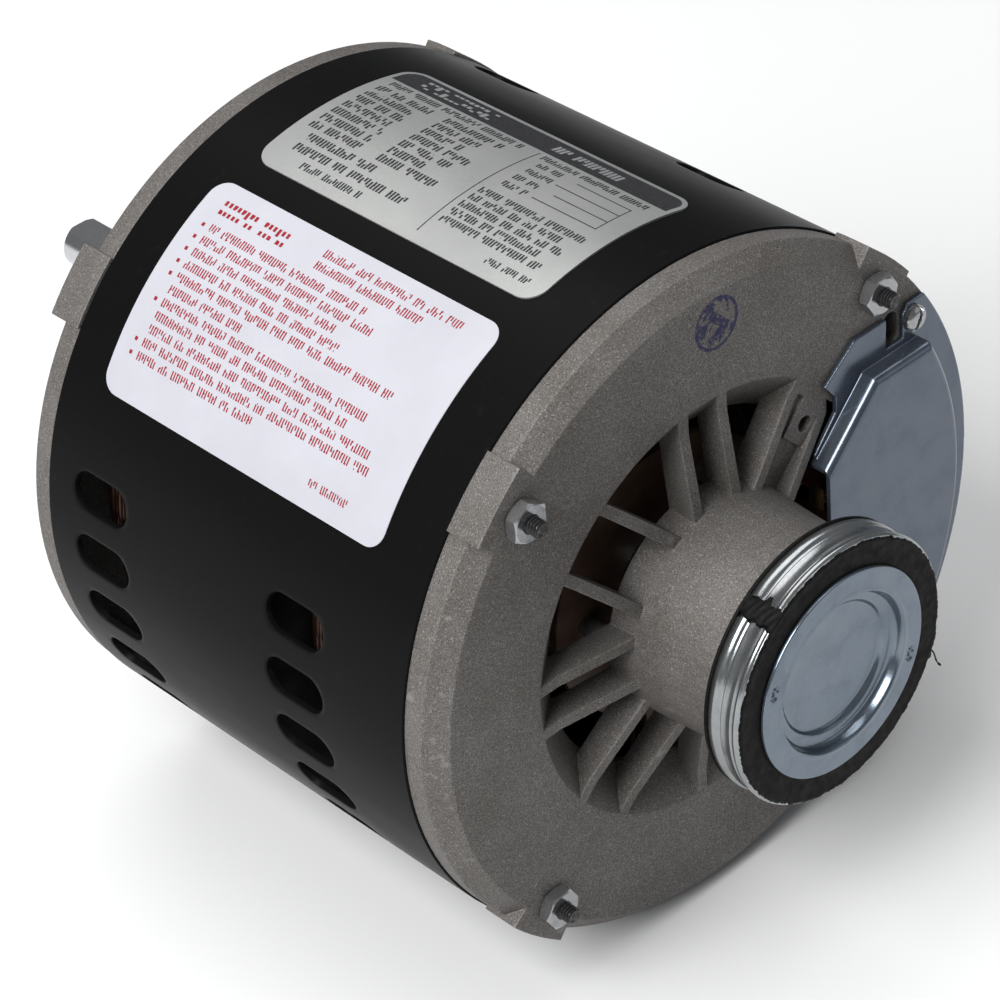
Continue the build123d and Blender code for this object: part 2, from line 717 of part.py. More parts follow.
def tangent_rod(radius, at_radius, station, half_length):
    """A rod across the governor, at right angles to its arm."""
    return Pos(at_radius, 0, station) * Rot(90, 0, 0) * Cylinder(radius, 2 * half_length)


def governor_carrier():
    """Sleeve on the shaft, with a disc and two arms whose ears hold the weights."""
    top = PIVOT_STATION + 3
    body = ring(GOVERNOR_SLEEVE_RADIUS, SHAFT_RADIUS, GOVERNOR_FACE, GOVERNOR_SLEEVE_TOP)
    body += ring(20, SHAFT_RADIUS, GOVERNOR_FACE, GOVERNOR_FACE + 1.5)
    for angle in (0, 180):
        arm_plate = block((15, 30.5), (-EAR_OUTER, EAR_OUTER), (GOVERNOR_FACE, GOVERNOR_FACE + 1.5))
        ears = [block((23.5, 30.5), span, (GOVERNOR_FACE, top))
                for span in ((EAR_INNER, EAR_OUTER), (-EAR_OUTER, -EAR_INNER))]
        holes = tangent_rod(PIN_RADIUS, PIVOT_RADIUS, PIVOT_STATION, 12)
        body += turn(angle) * (arm_plate + ears[0] + ears[1])
        body -= turn(angle) * holes
    return body


def governor_pins():
    pin = tangent_rod(PIN_RADIUS, PIVOT_RADIUS, PIVOT_STATION, EAR_OUTER + 0.8)
    return group(turn(angle) * pin for angle in (0, 180))


def governor_weight(angle):
    """Flyweight with a toe that sits in the collar's groove."""
    mass = block((25, 33), (-7, 7), (138.5, 146.5))
    boss = tangent_rod(2.6, PIVOT_RADIUS, PIVOT_STATION, 7)
    toe_arm = block((PIVOT_RADIUS - TOE_REACH, PIVOT_RADIUS), (-3, 3),
                    (PIVOT_STATION - 0.7, PIVOT_STATION + 0.7))
    toe = tangent_rod(1.0, PIVOT_RADIUS - TOE_REACH, PIVOT_STATION, 3)
    body = mass + boss + toe_arm + toe - tangent_rod(PIN_RADIUS + 0.05, PIVOT_RADIUS, PIVOT_STATION, 8)
    return turn(angle) * body


def governor_collar():
    """Moulded spool that slides on the carrier's sleeve."""
    return turned((
        (COLLAR_BORE_RADIUS, 142.4), (18, 142.4), (18, 144.0), (13.6, 144.0), (13.6, 148.0),
        (18, 148.0), (18, COLLAR_TOP), (COLLAR_BORE_RADIUS, COLLAR_TOP),
    ))


def governor_spring():
    """Return spring behind the collar: a few turns of wire."""
    low, high, wire = 136.9, 142.0, 0.35
    path = Pos(0, 0, low) * Helix(pitch=1.25, height=high - low - wire, radius=13.1)
    section = Plane(origin=path @ 0, z_dir=path % 0) * Circle(wire)
    return sweep(section, path=path)


# ---- start switch -------------------------------------------------------------------

def cross_rod(radius, length):
    """A rod along the switch arm's pivot."""
    return Pos(0, -SWITCH_PIVOT, SWITCH_AXIS_STATION) * Rot(0, 90, 0) * Cylinder(radius, length)


def switch_board():
    """Insulating board on the front hub, with the bracket for the switch arm's pivot."""
    board = ring(34, 15, SWITCH_BOARD_LOW, SWITCH_BOARD_TOP)
    board += block((-9, 9), (-43, -30), (SWITCH_BOARD_LOW, SWITCH_BOARD_TOP))
    for span in ((5.5, 8), (-8, -5.5)):
        board += block(span, (-SWITCH_PIVOT - 3, -SWITCH_PIVOT + 3), (152.0, SWITCH_BOARD_LOW))
    board -= cross_rod(0.85, 30)
    board -= [turn(angle) * rod(1.35, 150, 170, x=SWITCH_SCREW_CIRCLE) for angle in SWITCH_SCREW_ANGLES]
    board -= rod(CONTACT_SHANK, 150, 170, 0, CONTACT_PLACE)
    return board


def switch_arm():
    """Forked arm whose prongs follow the collar, with the moving contact on it."""
    low, high = SWITCH_ARM_LOW, SWITCH_ARM_HIGH
    body = block((-5, 5), (-SWITCH_PIVOT - 2, -17), (low, high))
    for side in (-1, 1):
        near, far = sorted((side * 12.9, side * 17.6))
        body += block((near, far), (-20, 4), (low, high))
    body += block((-17.6, 17.6), (-20, -15.5), (low, high))
    body += cross_rod(1.6, 10)
    body -= cross_rod(0.9, 12)
    body += rod(1.8, high, CONTACT_FACE - 0.01, 0, CONTACT_PLACE)
    return body


def switch_pivot():
    return cross_rod(0.85, 17)


def switch_contact():
    """Fixed contact, riveted through the board."""
    button = rod(2.0, CONTACT_FACE + 0.01, SWITCH_BOARD_LOW, 0, CONTACT_PLACE)
    return button + rod(CONTACT_SHANK, SWITCH_BOARD_LOW, SWITCH_BOARD_TOP, 0, CONTACT_PLACE)


def switch_screws():
    screw = rod(2.3, SWITCH_BOARD_LOW - 1.6, SWITCH_BOARD_LOW, x=SWITCH_SCREW_CIRCLE)
    screw += rod(1.2, SWITCH_BOARD_LOW, SWITCH_BOARD_TOP + 6, x=SWITCH_SCREW_CIRCLE)
    return group(turn(angle) * screw for angle in SWITCH_SCREW_ANGLES)


# ---- terminal compartment -----------------------------------------------------------

TAB_PLACES = ((45.0, 12.0), (53.0, 12.0), (45.0, 0.0), (53.0, 0.0), (45.0, -12.0), (53.0, -12.0))


def terminal_board():
    outline = mirrored(((40, 28), (46.5, 28), (46.5, 39), (56, 39), (56, 28), (61, 28)))
    board = plate(outline, BOARD_LOW, BOARD_TOP)
    board -= [rod(1.6, 0, 5, BOARD_SCREW[0], side * (BOARD_SCREW[1] + 0.8)) for side in (-1, 1)]
    board -= [rod(1.0, 0, 5, *place) for place in TAB_PLACES]
    return to_front(board)


def terminal_tabs():
    """Push-on blades on rivets, standing up from the board towards the cover."""
    foot = block((-3.2, 3.2), (-3.0, 3.0), (BOARD_TOP, BOARD_TOP + 0.8))
    blade = block((-3.2, 3.2), (-0.4, 0.4), (BOARD_TOP, BOARD_TOP + 8.5))
    rivet = rod(1.0, BOARD_LOW - 0.6, BOARD_TOP)
    tab = foot + blade + rivet + rod(1.8, BOARD_LOW - 0.8, BOARD_LOW)
    return group(to_front(Pos(x, y, 0) * tab) for x, y in TAB_PLACES)


def terminal_screws():
    screw = rod(2.9, BOARD_LOW - 2.2, BOARD_LOW) + rod(1.5, BOARD_LOW, 7.2)
    x, y = BOARD_SCREW
    return group(to_front(Pos(x, side * (y + 0.8), 0) * screw) for side in (-1, 1))


def overload_protector():
    """Disc-type thermal protector on the inner side of the terminal board."""
    body = turned((
        (0, -8.4), (8.5, -8.4), (10.0, -7.0), (10.0, -2.0), (9.4, 0.2), (4.0, 0.2),
        (4.0, BOARD_LOW), (0, BOARD_LOW),
    ))
    return to_front(Pos(50.5, 21.0, 0) * body)


def ground_screw():
    """Hexagonal washer-head screw for the earth wire."""
    head = hexagon(6.4, 9.0, 11.6) + rod(4.2, 8.0, 9.0) + rod(1.9, 2.5, 8.0)
    head -= block((-4, 4), (-0.5, 0.5), (10.6, 12))
    return to_front(Pos(GROUND_SCREW_X, 0, 0) * head)


LEAD_RADIUS = 1.3
LEAD_ENDS = TAB_PLACES[2:]


def lead(place):
    """One insulated wire from the coil ends to the underside of a tab."""
    x, y = place
    top = FRONT_SEAM + BOARD_LOW - 0.8
    foot = 146.6
    angle = math.atan2(y * 1.6, x)
    start = (60 * math.cos(angle), 60 * math.sin(angle))
    path = FilletPolyline(
        (start[0], start[1], foot), (start[0], start[1], foot + 6.0), (x, y, top - 6.0), (x, y, top),
        radius=2.6,
    )
    section = Plane(origin=path @ 0, z_dir=path % 0) * Circle(LEAD_RADIUS)
    return sweep(section, path=path)


def internal_leads():
    return group(lead(place) for place in LEAD_ENDS)


# ---- nameplate and label ------------------------------------------------------------

def curved_plate(start, end, low, high, thickness, corner):
    """A thin plate that follows the shell, with rounded corners."""
    middle = (start + end) / 2
    half_width = (SHELL_RADIUS + thickness) * math.sin(math.radians((end - start) / 2))
    window_plane = Plane(origin=(0, 0, (low + high) / 2), x_dir=(0, 1, 0), z_dir=(1, 0, 0))
    window = extrude(window_plane * RectangleRounded(2 * half_width, high - low, corner), amount=120)
    skin = ring(SHELL_RADIUS + thickness, SHELL_RADIUS, low - 5, high + 5)
    return turn(middle) * (skin & window)


def nameplate():
    return curved_plate(72.6, 106.9, 62.9, 150.9, 0.5, 5.0)


def info_label():
    return curved_plate(112.0, 149.4, 60.3, 150.5, 0.2, 4.5)


# ---- build --------------------------------------------------------------------------

NODES = {
    "shell": shell,
    "front_endshield": front_endshield,
    "rear_endshield": rear_endshield,
    "terminal_cover": terminal_cover,
    "cover_screws": cover_screws,
    "through_bolts": through_bolts,
    "through_bolt_nuts": through_bolt_nuts,
    "front_mount_sleeve": lambda: to_front(mount_sleeve()),
    "front_mount_rubber": lambda: to_front(mount_rubber()),
    "front_mount_band": lambda: to_front(mount_band()),
    "rear_mount_sleeve": lambda: to_rear(mount_sleeve()),
    "rear_mount_rubber": lambda: to_rear(mount_rubber()),
    "rear_mount_band": lambda: to_rear(mount_band()),
    "front_hub_cap": lambda: to_front(hub_cap(shaft_hole=False)),
    "rear_hub_cap": lambda: to_rear(hub_cap(shaft_hole=True)),
    "front_bearing_outer": lambda: bearing_outer(FRONT_BEARING),
    "front_bearing_inner": lambda: bearing_inner(FRONT_BEARING),
    "front_bearing_cage": lambda: bearing_cage(FRONT_BEARING),
    "front_bearing_shields": lambda: bearing_shields(FRONT_BEARING),
    "rear_bearing_outer": lambda: bearing_outer(REAR_BEARING),
    "rear_bearing_inner": lambda: bearing_inner(REAR_BEARING),
    "rear_bearing_cage": lambda: bearing_cage(REAR_BEARING),
    "rear_bearing_shields": lambda: bearing_shields(REAR_BEARING),
    "wave_spring": wave_spring,
    "stator_core": stator_core,
    "slot_liners": slot_liners,
    "main_winding": main_winding,
    "start_winding": start_winding,
    "winding_lacing": winding_lacing,
    "rotor_core": rotor_core,
    "rotor_cage": rotor_cage,
    "shaft": shaft,
    "shaft_slinger": shaft_slinger,
    "governor_carrier": governor_carrier,
    "governor_pins": governor_pins,
    "governor_weight_a": lambda: governor_weight(0),
    "governor_weight_b": lambda: governor_weight(180),
    "governor_collar": governor_collar,
    "governor_spring": governor_spring,
    "switch_board": switch_board,
    "switch_arm": switch_arm,
    "switch_pivot": switch_pivot,
    "switch_contact": switch_contact,
    "switch_screws": switch_screws,
    "terminal_board": terminal_board,
    "terminal_tabs": terminal_tabs,
    "terminal_screws": terminal_screws,
    "overload_protector": overload_protector,
    "ground_screw": ground_screw,
    "internal_leads": internal_leads,
    "nameplate": nameplate,
    "info_label": info_label,
}


def main():
    os.makedirs("parts", exist_ok=True)
    for name, make in NODES.items():
        solid = make()
        export_step(FRAME * solid, f"parts/{name}.step")
        print(name)


main()
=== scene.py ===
"""Looks for an open drip-proof, ring-mounted fan motor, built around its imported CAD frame.

Shapes are given in millimetres round the shaft axis, as in the part: a radius, an angle in
degrees from +X towards +Z, and a station along the shaft, from the shaft end's hub cap face
(station 0) towards the lead end, which is -Y in the frame.
"""
import math
import random

import bmesh
import bpy
from mathutils import Matrix, Vector


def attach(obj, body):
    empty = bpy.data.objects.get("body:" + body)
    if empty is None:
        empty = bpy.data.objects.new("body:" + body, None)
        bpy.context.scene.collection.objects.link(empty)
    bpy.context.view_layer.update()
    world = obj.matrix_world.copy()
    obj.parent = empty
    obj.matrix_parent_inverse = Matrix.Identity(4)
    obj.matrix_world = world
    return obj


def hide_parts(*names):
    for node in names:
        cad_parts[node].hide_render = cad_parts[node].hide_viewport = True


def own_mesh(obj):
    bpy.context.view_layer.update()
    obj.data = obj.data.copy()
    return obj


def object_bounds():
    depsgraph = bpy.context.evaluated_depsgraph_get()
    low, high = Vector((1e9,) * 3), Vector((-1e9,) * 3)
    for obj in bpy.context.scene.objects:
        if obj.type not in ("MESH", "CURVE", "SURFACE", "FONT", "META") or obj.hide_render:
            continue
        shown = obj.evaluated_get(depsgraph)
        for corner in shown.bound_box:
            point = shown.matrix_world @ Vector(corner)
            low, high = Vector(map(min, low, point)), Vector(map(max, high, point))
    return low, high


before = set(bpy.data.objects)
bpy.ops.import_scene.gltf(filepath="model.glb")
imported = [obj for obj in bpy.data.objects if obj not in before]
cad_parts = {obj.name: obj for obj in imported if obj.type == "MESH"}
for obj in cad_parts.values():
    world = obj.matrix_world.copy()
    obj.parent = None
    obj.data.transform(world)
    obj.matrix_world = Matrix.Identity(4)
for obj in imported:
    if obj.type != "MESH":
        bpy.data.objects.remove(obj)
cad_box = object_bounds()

MM = 0.001

# ---- driving dimensions, mm

SHELL_RADIUS = 82.55
SHELL_THICKNESS = 1.5
REAR_SEAM = 47.8
FRONT_SEAM = 165.4
FACE_HEIGHT = 9.4             # seam to the flat face of an endshield
BOLT_CIRCLE = 75.0
BOLT_ANGLES = (45, 135, 225, 315)
RING_RADIUS = 31.75
RING_INNER = 24.0
SPLIT_ANGLE = 127.0
HUB_SHOULDER = 36.6
CAP_TOP = 47.8

random.seed(7)


# ---- places

def at(radius, angle, station):
    """A point in the row frame, in metres."""
    turn = math.radians(angle)
    return Vector((radius * math.cos(turn), -station, radius * math.sin(turn))) * MM


def front(radius, angle, height):
    """A point by its height out from the lead end's seam."""
    return at(radius, angle, FRONT_SEAM + height)


def rear(radius, angle, height):
    """The matching point on the shaft end, which is the lead end turned over about X."""
    return at(radius, -angle, REAR_SEAM - height)


# ---- mesh helpers

def piece(name, parts, body, material, replaces=(), sharp=38, closed=True):
    """One visible object, from a list of (points, faces) in the row frame."""
    build = bmesh.new()
    for points, faces in parts:
        made = [build.verts.new(p) for p in points]
        for face in faces:
            corners = [made[i] for i in face]
            if len(set(corners)) > 2:
                build.faces.new(corners)
    bmesh.ops.remove_doubles(build, verts=build.verts, dist=2e-6)
    if closed:
        bmesh.ops.recalc_face_normals(build, faces=build.faces)
    mesh = bpy.data.meshes.new(name)
    build.to_mesh(mesh)
    build.free()
    return placed(name, mesh, body, material, replaces, sharp)


def placed(name, mesh, body, material, replaces=(), sharp=38):
    """Puts a finished mesh into the scene, on its body."""
    mesh.shade_smooth()
    mesh.set_sharp_from_angle(angle=math.radians(sharp))
    mesh.materials.clear()
    mesh.materials.append(material)
    thing = bpy.data.objects.new(name, mesh)
    bpy.context.scene.collection.objects.link(thing)
    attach(thing, body)
    if replaces:
        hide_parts(*replaces)
    return thing


def eased(outline, ease):
    """A closed (radius, height) outline with rounded corners; a third number is its own ease."""
    steps = 3
    rounded = []
    for i, corner in enumerate(outline):
        here = Vector(corner[:2])
        before = Vector(outline[i - 1][:2]) - here
        after = Vector(outline[(i + 1) % len(outline)][:2]) - here
        size = corner[2] if len(corner) > 2 else ease
        size = min(size, 0.45 * before.length, 0.45 * after.length)
        if size < 0.01 or here.x < 0.001:
            rounded.append(tuple(here))
            continue
        start = here + before.normalized() * size
        end = here + after.normalized() * size
        for k in range(steps + 1):
            t = k / steps
            rounded.append(tuple(start * (1 - t) ** 2 + here * 2 * t * (1 - t) + end * t * t))
    return rounded


def woven(rows, columns, around=True):
    """Faces of a grid kept row by row; around joins each row's last point to its first."""
    wide = columns if around else columns + 1
    corners = [(row * wide + k, row * wide + (k + 1) % wide)
               for row in range(rows) for k in range(columns)]
    return [(a, b, b + wide, a + wide) for a, b in corners]


def turned_over(faces):
    return [(a, d, c, b) for a, b, c, d in faces]


def wrapped(segments, count, size):
    """Faces between closed outlines of size points, each joined to the next of count."""
    faces = []
    for k in range(segments):
        here, there = k * size, (k + 1) % count * size
        faces += [(here + i, there + i, there + (i + 1) % size, here + (i + 1) % size)
                  for i in range(size)]
    return faces


def lathe(place, outline, segments, start=0.0, sweep=360.0):
    """A closed outline turned round the shaft axis."""
    whole = sweep >= 360
    count = segments if whole else segments + 1
    size = len(outline)
    points = [place(r, start + sweep * k / segments, h) for k in range(count) for r, h in outline]
    faces = wrapped(segments, count, size)
    if not whole:
        faces += [tuple(range(size)), tuple((count - 1) * size + i for i in range(size))]
    return points, faces


def moved(part, matrix):
    points, faces = part
    return [matrix @ p for p in points], faces


def along_axis(centre, outward):
    """Matrix from a local frame in mm, Z out of the seat, to the row frame."""
    z = Vector(outward).normalized()
    x = Vector((1, 0, 0))
    y = z.cross(x)
    turn = Matrix((x, y, z)).transposed().to_4x4()
    return Matrix.Translation(centre) @ turn @ Matrix.Scale(MM, 4)


def local(radius, angle, height):
    """A point of a local frame, in mm, for lathe()."""
    turn = math.radians(angle)
    return Vector((radius * math.cos(turn), radius * math.sin(turn), height))


def past(angle, mark):
    """How far an angle is past a mark, from -180 to 180 degrees."""
    return (angle - mark + 180) % 360 - 180


def hump(value, middle, half, power=2):
    """1 in the middle, about a third at half away from it, and 0 beyond."""
    return math.exp(-((value - middle) / half) ** power)


# ---- fasteners

BOLT_RADIUS = 2.08
THREAD_PITCH = 0.794
THREAD_DEPTH = 0.42
TIP_CHAMFER = 0.55
NUT_ACROSS_FLATS = 8.73
NUT_HEIGHT = 3.2
NUT_BORE = 1.95
NUT_TURN = 15                 # a nut's corner, from the radius through its bolt
SLOT_HALF_WIDTH = 0.45
SLOT_DEPTH = 1.1


def hexagon_nut(angle):
    """A hexagon with its corners turned off to a cone at both ends."""
    flat = NUT_ACROSS_FLATS / 2
    face = flat * 0.95
    slope = math.tan(math.radians(30))
    segments = 72
    points = []
    for k in range(segments):
        turn = 2 * math.pi * k / segments
        corner = flat / math.cos(math.radians((math.degrees(turn) % 60) - 30))
        drop = max(0.0, (corner - face) * slope)
        outline = [(NUT_BORE, 0.25), (NUT_BORE + 0.3, 0.0), (face, 0.0), (corner, drop),
                   (corner, NUT_HEIGHT - drop), (face, NUT_HEIGHT), (NUT_BORE + 0.35, NUT_HEIGHT),
                   (NUT_BORE, NUT_HEIGHT - 0.35)]
        turn += math.radians(angle)
        points += [Vector((r * math.cos(turn), r * math.sin(turn), h)) for r, h in outline]
    return points, wrapped(segments, segments, len(outline))


def thread(radius, low, high):
    """A rod end with a real helical thread and a chamfered tip."""
    steps, rows_per_turn = 36, 10
    rows = int((high - low) / THREAD_PITCH * rows_per_turn)
    points = []
    for row in range(rows + 1):
        height = low + (high - low) * row / rows
        taper = max(0.0, height - (high - TIP_CHAMFER)) * 0.9
        for k in range(steps):
            phase = (height / THREAD_PITCH - k / steps) % 1.0
            cut = THREAD_DEPTH * abs(2 * phase - 1) ** 0.8
            points.append(local(radius - max(cut, taper), 360 * k / steps, height))
    ends = [tuple(range(steps)), tuple(rows * steps + k for k in range(steps))]
    return points, woven(rows, steps) + ends


def rod(radius, low, high, ease=0.2):
    outline = eased(((0, low), (radius, low), (radius, high), (0, high)), ease)
    return lathe(local, outline, segments=36)


def slotted_head(radius, height, slot_angle):
    """A domed screw head with a slot cut across it."""
    rings, steps = 14, 48
    points = []
    for ring in range(rings + 1):
        t = ring / rings
        for k in range(steps):
            turn = 2 * math.pi * k / steps
            r = radius * (1 - t)
            dome = height * (1 - 0.42 * (1 - t) ** 4)
            x, y = r * math.cos(turn), r * math.sin(turn)
            off = abs(-x * math.sin(slot_angle) + y * math.cos(slot_angle))
            depth = SLOT_DEPTH if off < SLOT_HALF_WIDTH else 0.0
            points.append(Vector((x, y, dome - depth)))
    for k in range(steps):
        turn = 2 * math.pi * k / steps
        points.append(Vector((radius * math.cos(turn), radius * math.sin(turn), 0)))
    faces = woven(rings, steps)
    skirt = (rings + 1) * steps
    for k in range(steps):
        j = (k + 1) % steps
        faces.append((k, j, skirt + j, skirt + k))
    faces.append(tuple(skirt + k for k in range(steps)))
    return points, faces


# ---- material helper

class Finish:
    """A material built up round one Principled shader. Lengths of a pattern are in mm."""

    def __init__(self, name, colour, metallic=0.0, roughness=0.5, **sockets):
        self.material = bpy.data.materials.new(name)
        self.material.use_nodes = True
        self.tree = self.material.node_tree
        self.shader = self.tree.nodes["Principled BSDF"]
        self.shader.inputs["Base Color"].default_value = (*colour, 1)
        self.shader.inputs["Metallic"].default_value = metallic
        self.shader.inputs["Roughness"].default_value = roughness
        for socket, value in sockets.items():
            label = socket.replace("_", " ").title().replace("Ior", "IOR")
            self.shader.inputs[label].default_value = value
        self.place = self.tree.nodes.new("ShaderNodeTexCoord").outputs["Object"]
        self.last_bump = None

    def node(self, kind, **settings):
        made = self.tree.nodes.new(kind)
        for name, value in settings.items():
            setattr(made, name, value)
        return made

    def link(self, source, target):
        self.tree.links.new(source, target)

    def feed(self, socket, value):
        if hasattr(value, "links"):
            self.link(value, socket)
        else:
            socket.default_value = value

    def stretched(self, stretch):
        mapping = self.node("ShaderNodeMapping")
        self.link(self.place, mapping.inputs["Vector"])
        mapping.inputs["Scale"].default_value = stretch
        return mapping.outputs["Vector"]

    def noise(self, size, detail=3.0, rough=0.55, stretch=None, warp=0.0):
        """Noise whose blotches are about size mm across."""
        made = self.node("ShaderNodeTexNoise")
        self.link(self.stretched(stretch) if stretch else self.place, made.inputs["Vector"])
        made.inputs["Scale"].default_value = 1 / (size * MM)
        made.inputs["Detail"].default_value = detail
        made.inputs["Roughness"].default_value = rough
        made.inputs["Distortion"].default_value = warp
        return made.outputs["Fac"]

    def cells(self, size):
        """Cells about size mm across, each with its own random colour."""
        made = self.node("ShaderNodeTexVoronoi")
        self.link(self.place, made.inputs["Vector"])
        made.inputs["Scale"].default_value = 1 / (size * MM)
        return made.outputs["Color"]

    def ramp(self, factor, *stops):
        """Maps a number to numbers or colours by (position, value) stops."""
        made = self.node("ShaderNodeValToRGB")
        self.link(factor, made.inputs["Fac"])
        band = made.color_ramp
        while len(band.elements) < len(stops):
            band.elements.new(0.5)
        for element, (position, value) in zip(band.elements, stops):
            element.position = position
            element.color = (*value, 1) if hasattr(value, "__len__") else (value, value, value, 1)
        return made.outputs["Color"]

    def mix(self, factor, first, second, kind="MIX"):
        made = self.node("ShaderNodeMix", data_type="RGBA", blend_type=kind)
        self.feed(made.inputs[0], factor)
        for socket, value in ((made.inputs[6], first), (made.inputs[7], second)):
            self.feed(socket, value if hasattr(value, "links") else (*value, 1))
        return made.outputs[2]

    def calc(self, operation, first, second=0.0):
        made = self.node("ShaderNodeMath", operation=operation)
        for socket, value in zip(made.inputs, (first, second)):
            self.feed(socket, value)
        return made.outputs[0]

    def split(self, vector):
        made = self.node("ShaderNodeSeparateXYZ")
        self.link(vector, made.inputs[0])
        return made.outputs

    def edges(self, high=0.6):
        """1 along convex edges, 0 elsewhere and at the sharpest points, which are stray; the mask
        of painted edge highlights.
        """
        made = self.node("ShaderNodeNewGeometry")
        return self.ramp(made.outputs["Pointiness"], (0.52, 0.0), (high, 1.0), (0.66, 1.0),
                         (0.72, 0.0))

    def bump(self, height, distance):
        """Adds a bump; distance in mm is the height of a full step."""
        made = self.node("ShaderNodeBump")
        made.inputs["Strength"].default_value = 1.0
        made.inputs["Distance"].default_value = distance * MM
        self.link(height, made.inputs["Height"])
        if self.last_bump:
            self.link(self.last_bump, made.inputs["Normal"])
        self.last_bump = made.outputs["Normal"]
        self.link(self.last_bump, self.shader.inputs["Normal"])

    def colour(self, source):
        self.link(source, self.shader.inputs["Base Color"])

    def rough(self, source):
        self.link(source, self.shader.inputs["Roughness"])


# ---- materials

def cast_aluminium():
    """Die-cast aluminium, tumbled: grey-brown with fine bright grain, and a painted highlight along
    its convex edges.
    """
    finish = Finish("cast_aluminium", (0.15, 0.14, 0.13), metallic=0.35, roughness=0.48,
                    specular_ior_level=0.3)
    fine = finish.noise(0.3, detail=4, rough=0.7)
    grain = finish.cells(0.26)
    clouds = finish.noise(16, detail=3)
    base = finish.ramp(fine, (0.36, (0.055, 0.051, 0.048)), (0.5, (0.108, 0.102, 0.098)),
                       (0.6, (0.145, 0.139, 0.134)), (0.72, (0.25, 0.242, 0.235)))
    shade = finish.ramp(clouds, (0.3, (0.84, 0.81, 0.77)), (0.7, (1.08, 1.07, 1.06)))
    toned = finish.mix(1.0, base, shade, "MULTIPLY")
    speck = finish.ramp(finish.split(grain)[0], (0.93, 0.0), (0.97, 0.25))
    sparkling = finish.mix(speck, toned, (0.45, 0.43, 0.41))
    # painted highlight: convex edges mixed toward a lighter grey
    edge_highlighted = finish.mix(finish.calc("MULTIPLY", finish.edges(), 0.4), sparkling, (0.26, 0.252, 0.244))
    stamp = ink_stamp(finish)
    finish.colour(finish.mix(stamp, edge_highlighted, (0.012, 0.012, 0.055)))
    finish.rough(finish.ramp(fine, (0.35, 0.6), (0.7, 0.38)))
    finish.bump(finish.noise(1.3, detail=2), 0.05)
    finish.bump(fine, 0.12)
    finish.bump(finish.split(grain)[1], 0.04)
    return finish.material


STAMP_CENTRE = (5.0, 70.0)
STAMP_RADIUS = 6.0


def ink_stamp(finish):
    """A generic inspector's mark in smudged ink on the lead end's face: a ring round a tick."""
    x, y, z = finish.split(finish.place)
    across = finish.calc("SUBTRACT", x, STAMP_CENTRE[0] * MM)
    up = finish.calc("SUBTRACT", z, STAMP_CENTRE[1] * MM)
    distance = finish.calc("SQRT", finish.calc("ADD", finish.calc("MULTIPLY", across, across),
                                               finish.calc("MULTIPLY", up, up)))
    ring = band(finish, distance, STAMP_RADIUS, 0.4)
    slant = finish.calc("ADD", across, up)
    lean = finish.calc("SUBTRACT", up, across)
    long_stroke = finish.calc("MULTIPLY", band(finish, slant, 1.2, 1.5),
                              band(finish, lean, -0.4, 5.0))
    short_stroke = finish.calc("MULTIPLY", band(finish, lean, -4.2, 1.5),
                               band(finish, slant, -1.6, 3.0))
    mark = finish.calc("MAXIMUM", ring, finish.calc("MAXIMUM", long_stroke, short_stroke))
    blots = finish.calc("GREATER_THAN", finish.noise(3.4, detail=4, warp=0.8), 0.53)
    inside = finish.calc("LESS_THAN", distance, STAMP_RADIUS * MM)
    smudge = finish.calc("MAXIMUM", mark, finish.calc("MULTIPLY", blots, inside))
    patchy = finish.ramp(finish.noise(0.8, detail=4), (0.38, 0.25), (0.5, 1.0))
    on_face = finish.calc("LESS_THAN", y, -(FRONT_SEAM + FACE_HEIGHT - 1.0) * MM)
    return finish.calc("MULTIPLY", finish.calc("MULTIPLY", smudge, patchy), on_face)


def band(finish, value, middle, half_width):
    """1 where a length is within half_width mm of middle mm."""
    away = finish.calc("ABSOLUTE", finish.calc("SUBTRACT", value, middle * MM))
    return finish.calc("LESS_THAN", away, half_width * MM)


def black_enamel():
    """Baked black enamel on rolled sheet."""
    finish = Finish("black_enamel", (0.004, 0.004, 0.004), roughness=0.36, specular_ior_level=0.035)
    smear = finish.noise(22, detail=4, stretch=(1, 0.25, 1))
    speck = finish.noise(0.9, detail=2)
    dust = finish.ramp(finish.noise(3.2, detail=8, rough=0.75), (0.6, (0.0035, 0.0035, 0.0036)),
                       (0.8, (0.011, 0.0105, 0.01)))
    finish.colour(dust)
    finish.rough(finish.ramp(smear, (0.3, 0.3), (0.72, 0.42)))
    finish.bump(speck, 0.012)
    finish.bump(finish.noise(26, detail=1), 0.05)
    return finish.material


def zinc(name, tint, roughness, metallic, blotch=7.0):
    """Bright zinc plate with the bluish mottling of its passivation."""
    finish = Finish(name, tint, metallic=metallic, roughness=roughness)
    clouds = finish.noise(blotch, detail=5, rough=0.6, warp=0.4)
    fine = finish.noise(0.5, detail=4, rough=0.7)
    darker = tuple(0.85 * c for c in tint)
    warmer = (tint[0] * 1.1, tint[1] * 1.05, tint[2] * 1.0)
    base = finish.ramp(clouds, (0.34, darker), (0.52, tint), (0.68, warmer))
    lighter = tuple(min(1.0, 1.45 * c) for c in tint)
    finish.colour(finish.mix(finish.ramp(fine, (0.54, 0.0), (0.72, 0.6)), base, lighter))
    finish.rough(finish.ramp(clouds, (0.3, roughness * 0.85), (0.7, roughness * 1.25)))
    finish.bump(fine, 0.01)
    finish.bump(finish.noise(9, detail=2), 0.03)
    return finish.material


def rubber():
    finish = Finish("rubber", (0.004, 0.004, 0.004), roughness=0.6, specular_ior_level=0.1)
    base = finish.ramp(finish.noise(1.8, detail=6, rough=0.7), (0.5, (0.0028, 0.0028, 0.0027)),
                       (0.78, (0.011, 0.01, 0.009)))
    finish.colour(base)
    finish.rough(finish.ramp(finish.noise(2.5, detail=4), (0.35, 0.5), (0.7, 0.72)))
    finish.bump(finish.noise(0.5, detail=4, rough=0.7), 0.03)
    finish.bump(finish.noise(3.0, detail=2), 0.1)
    return finish.material


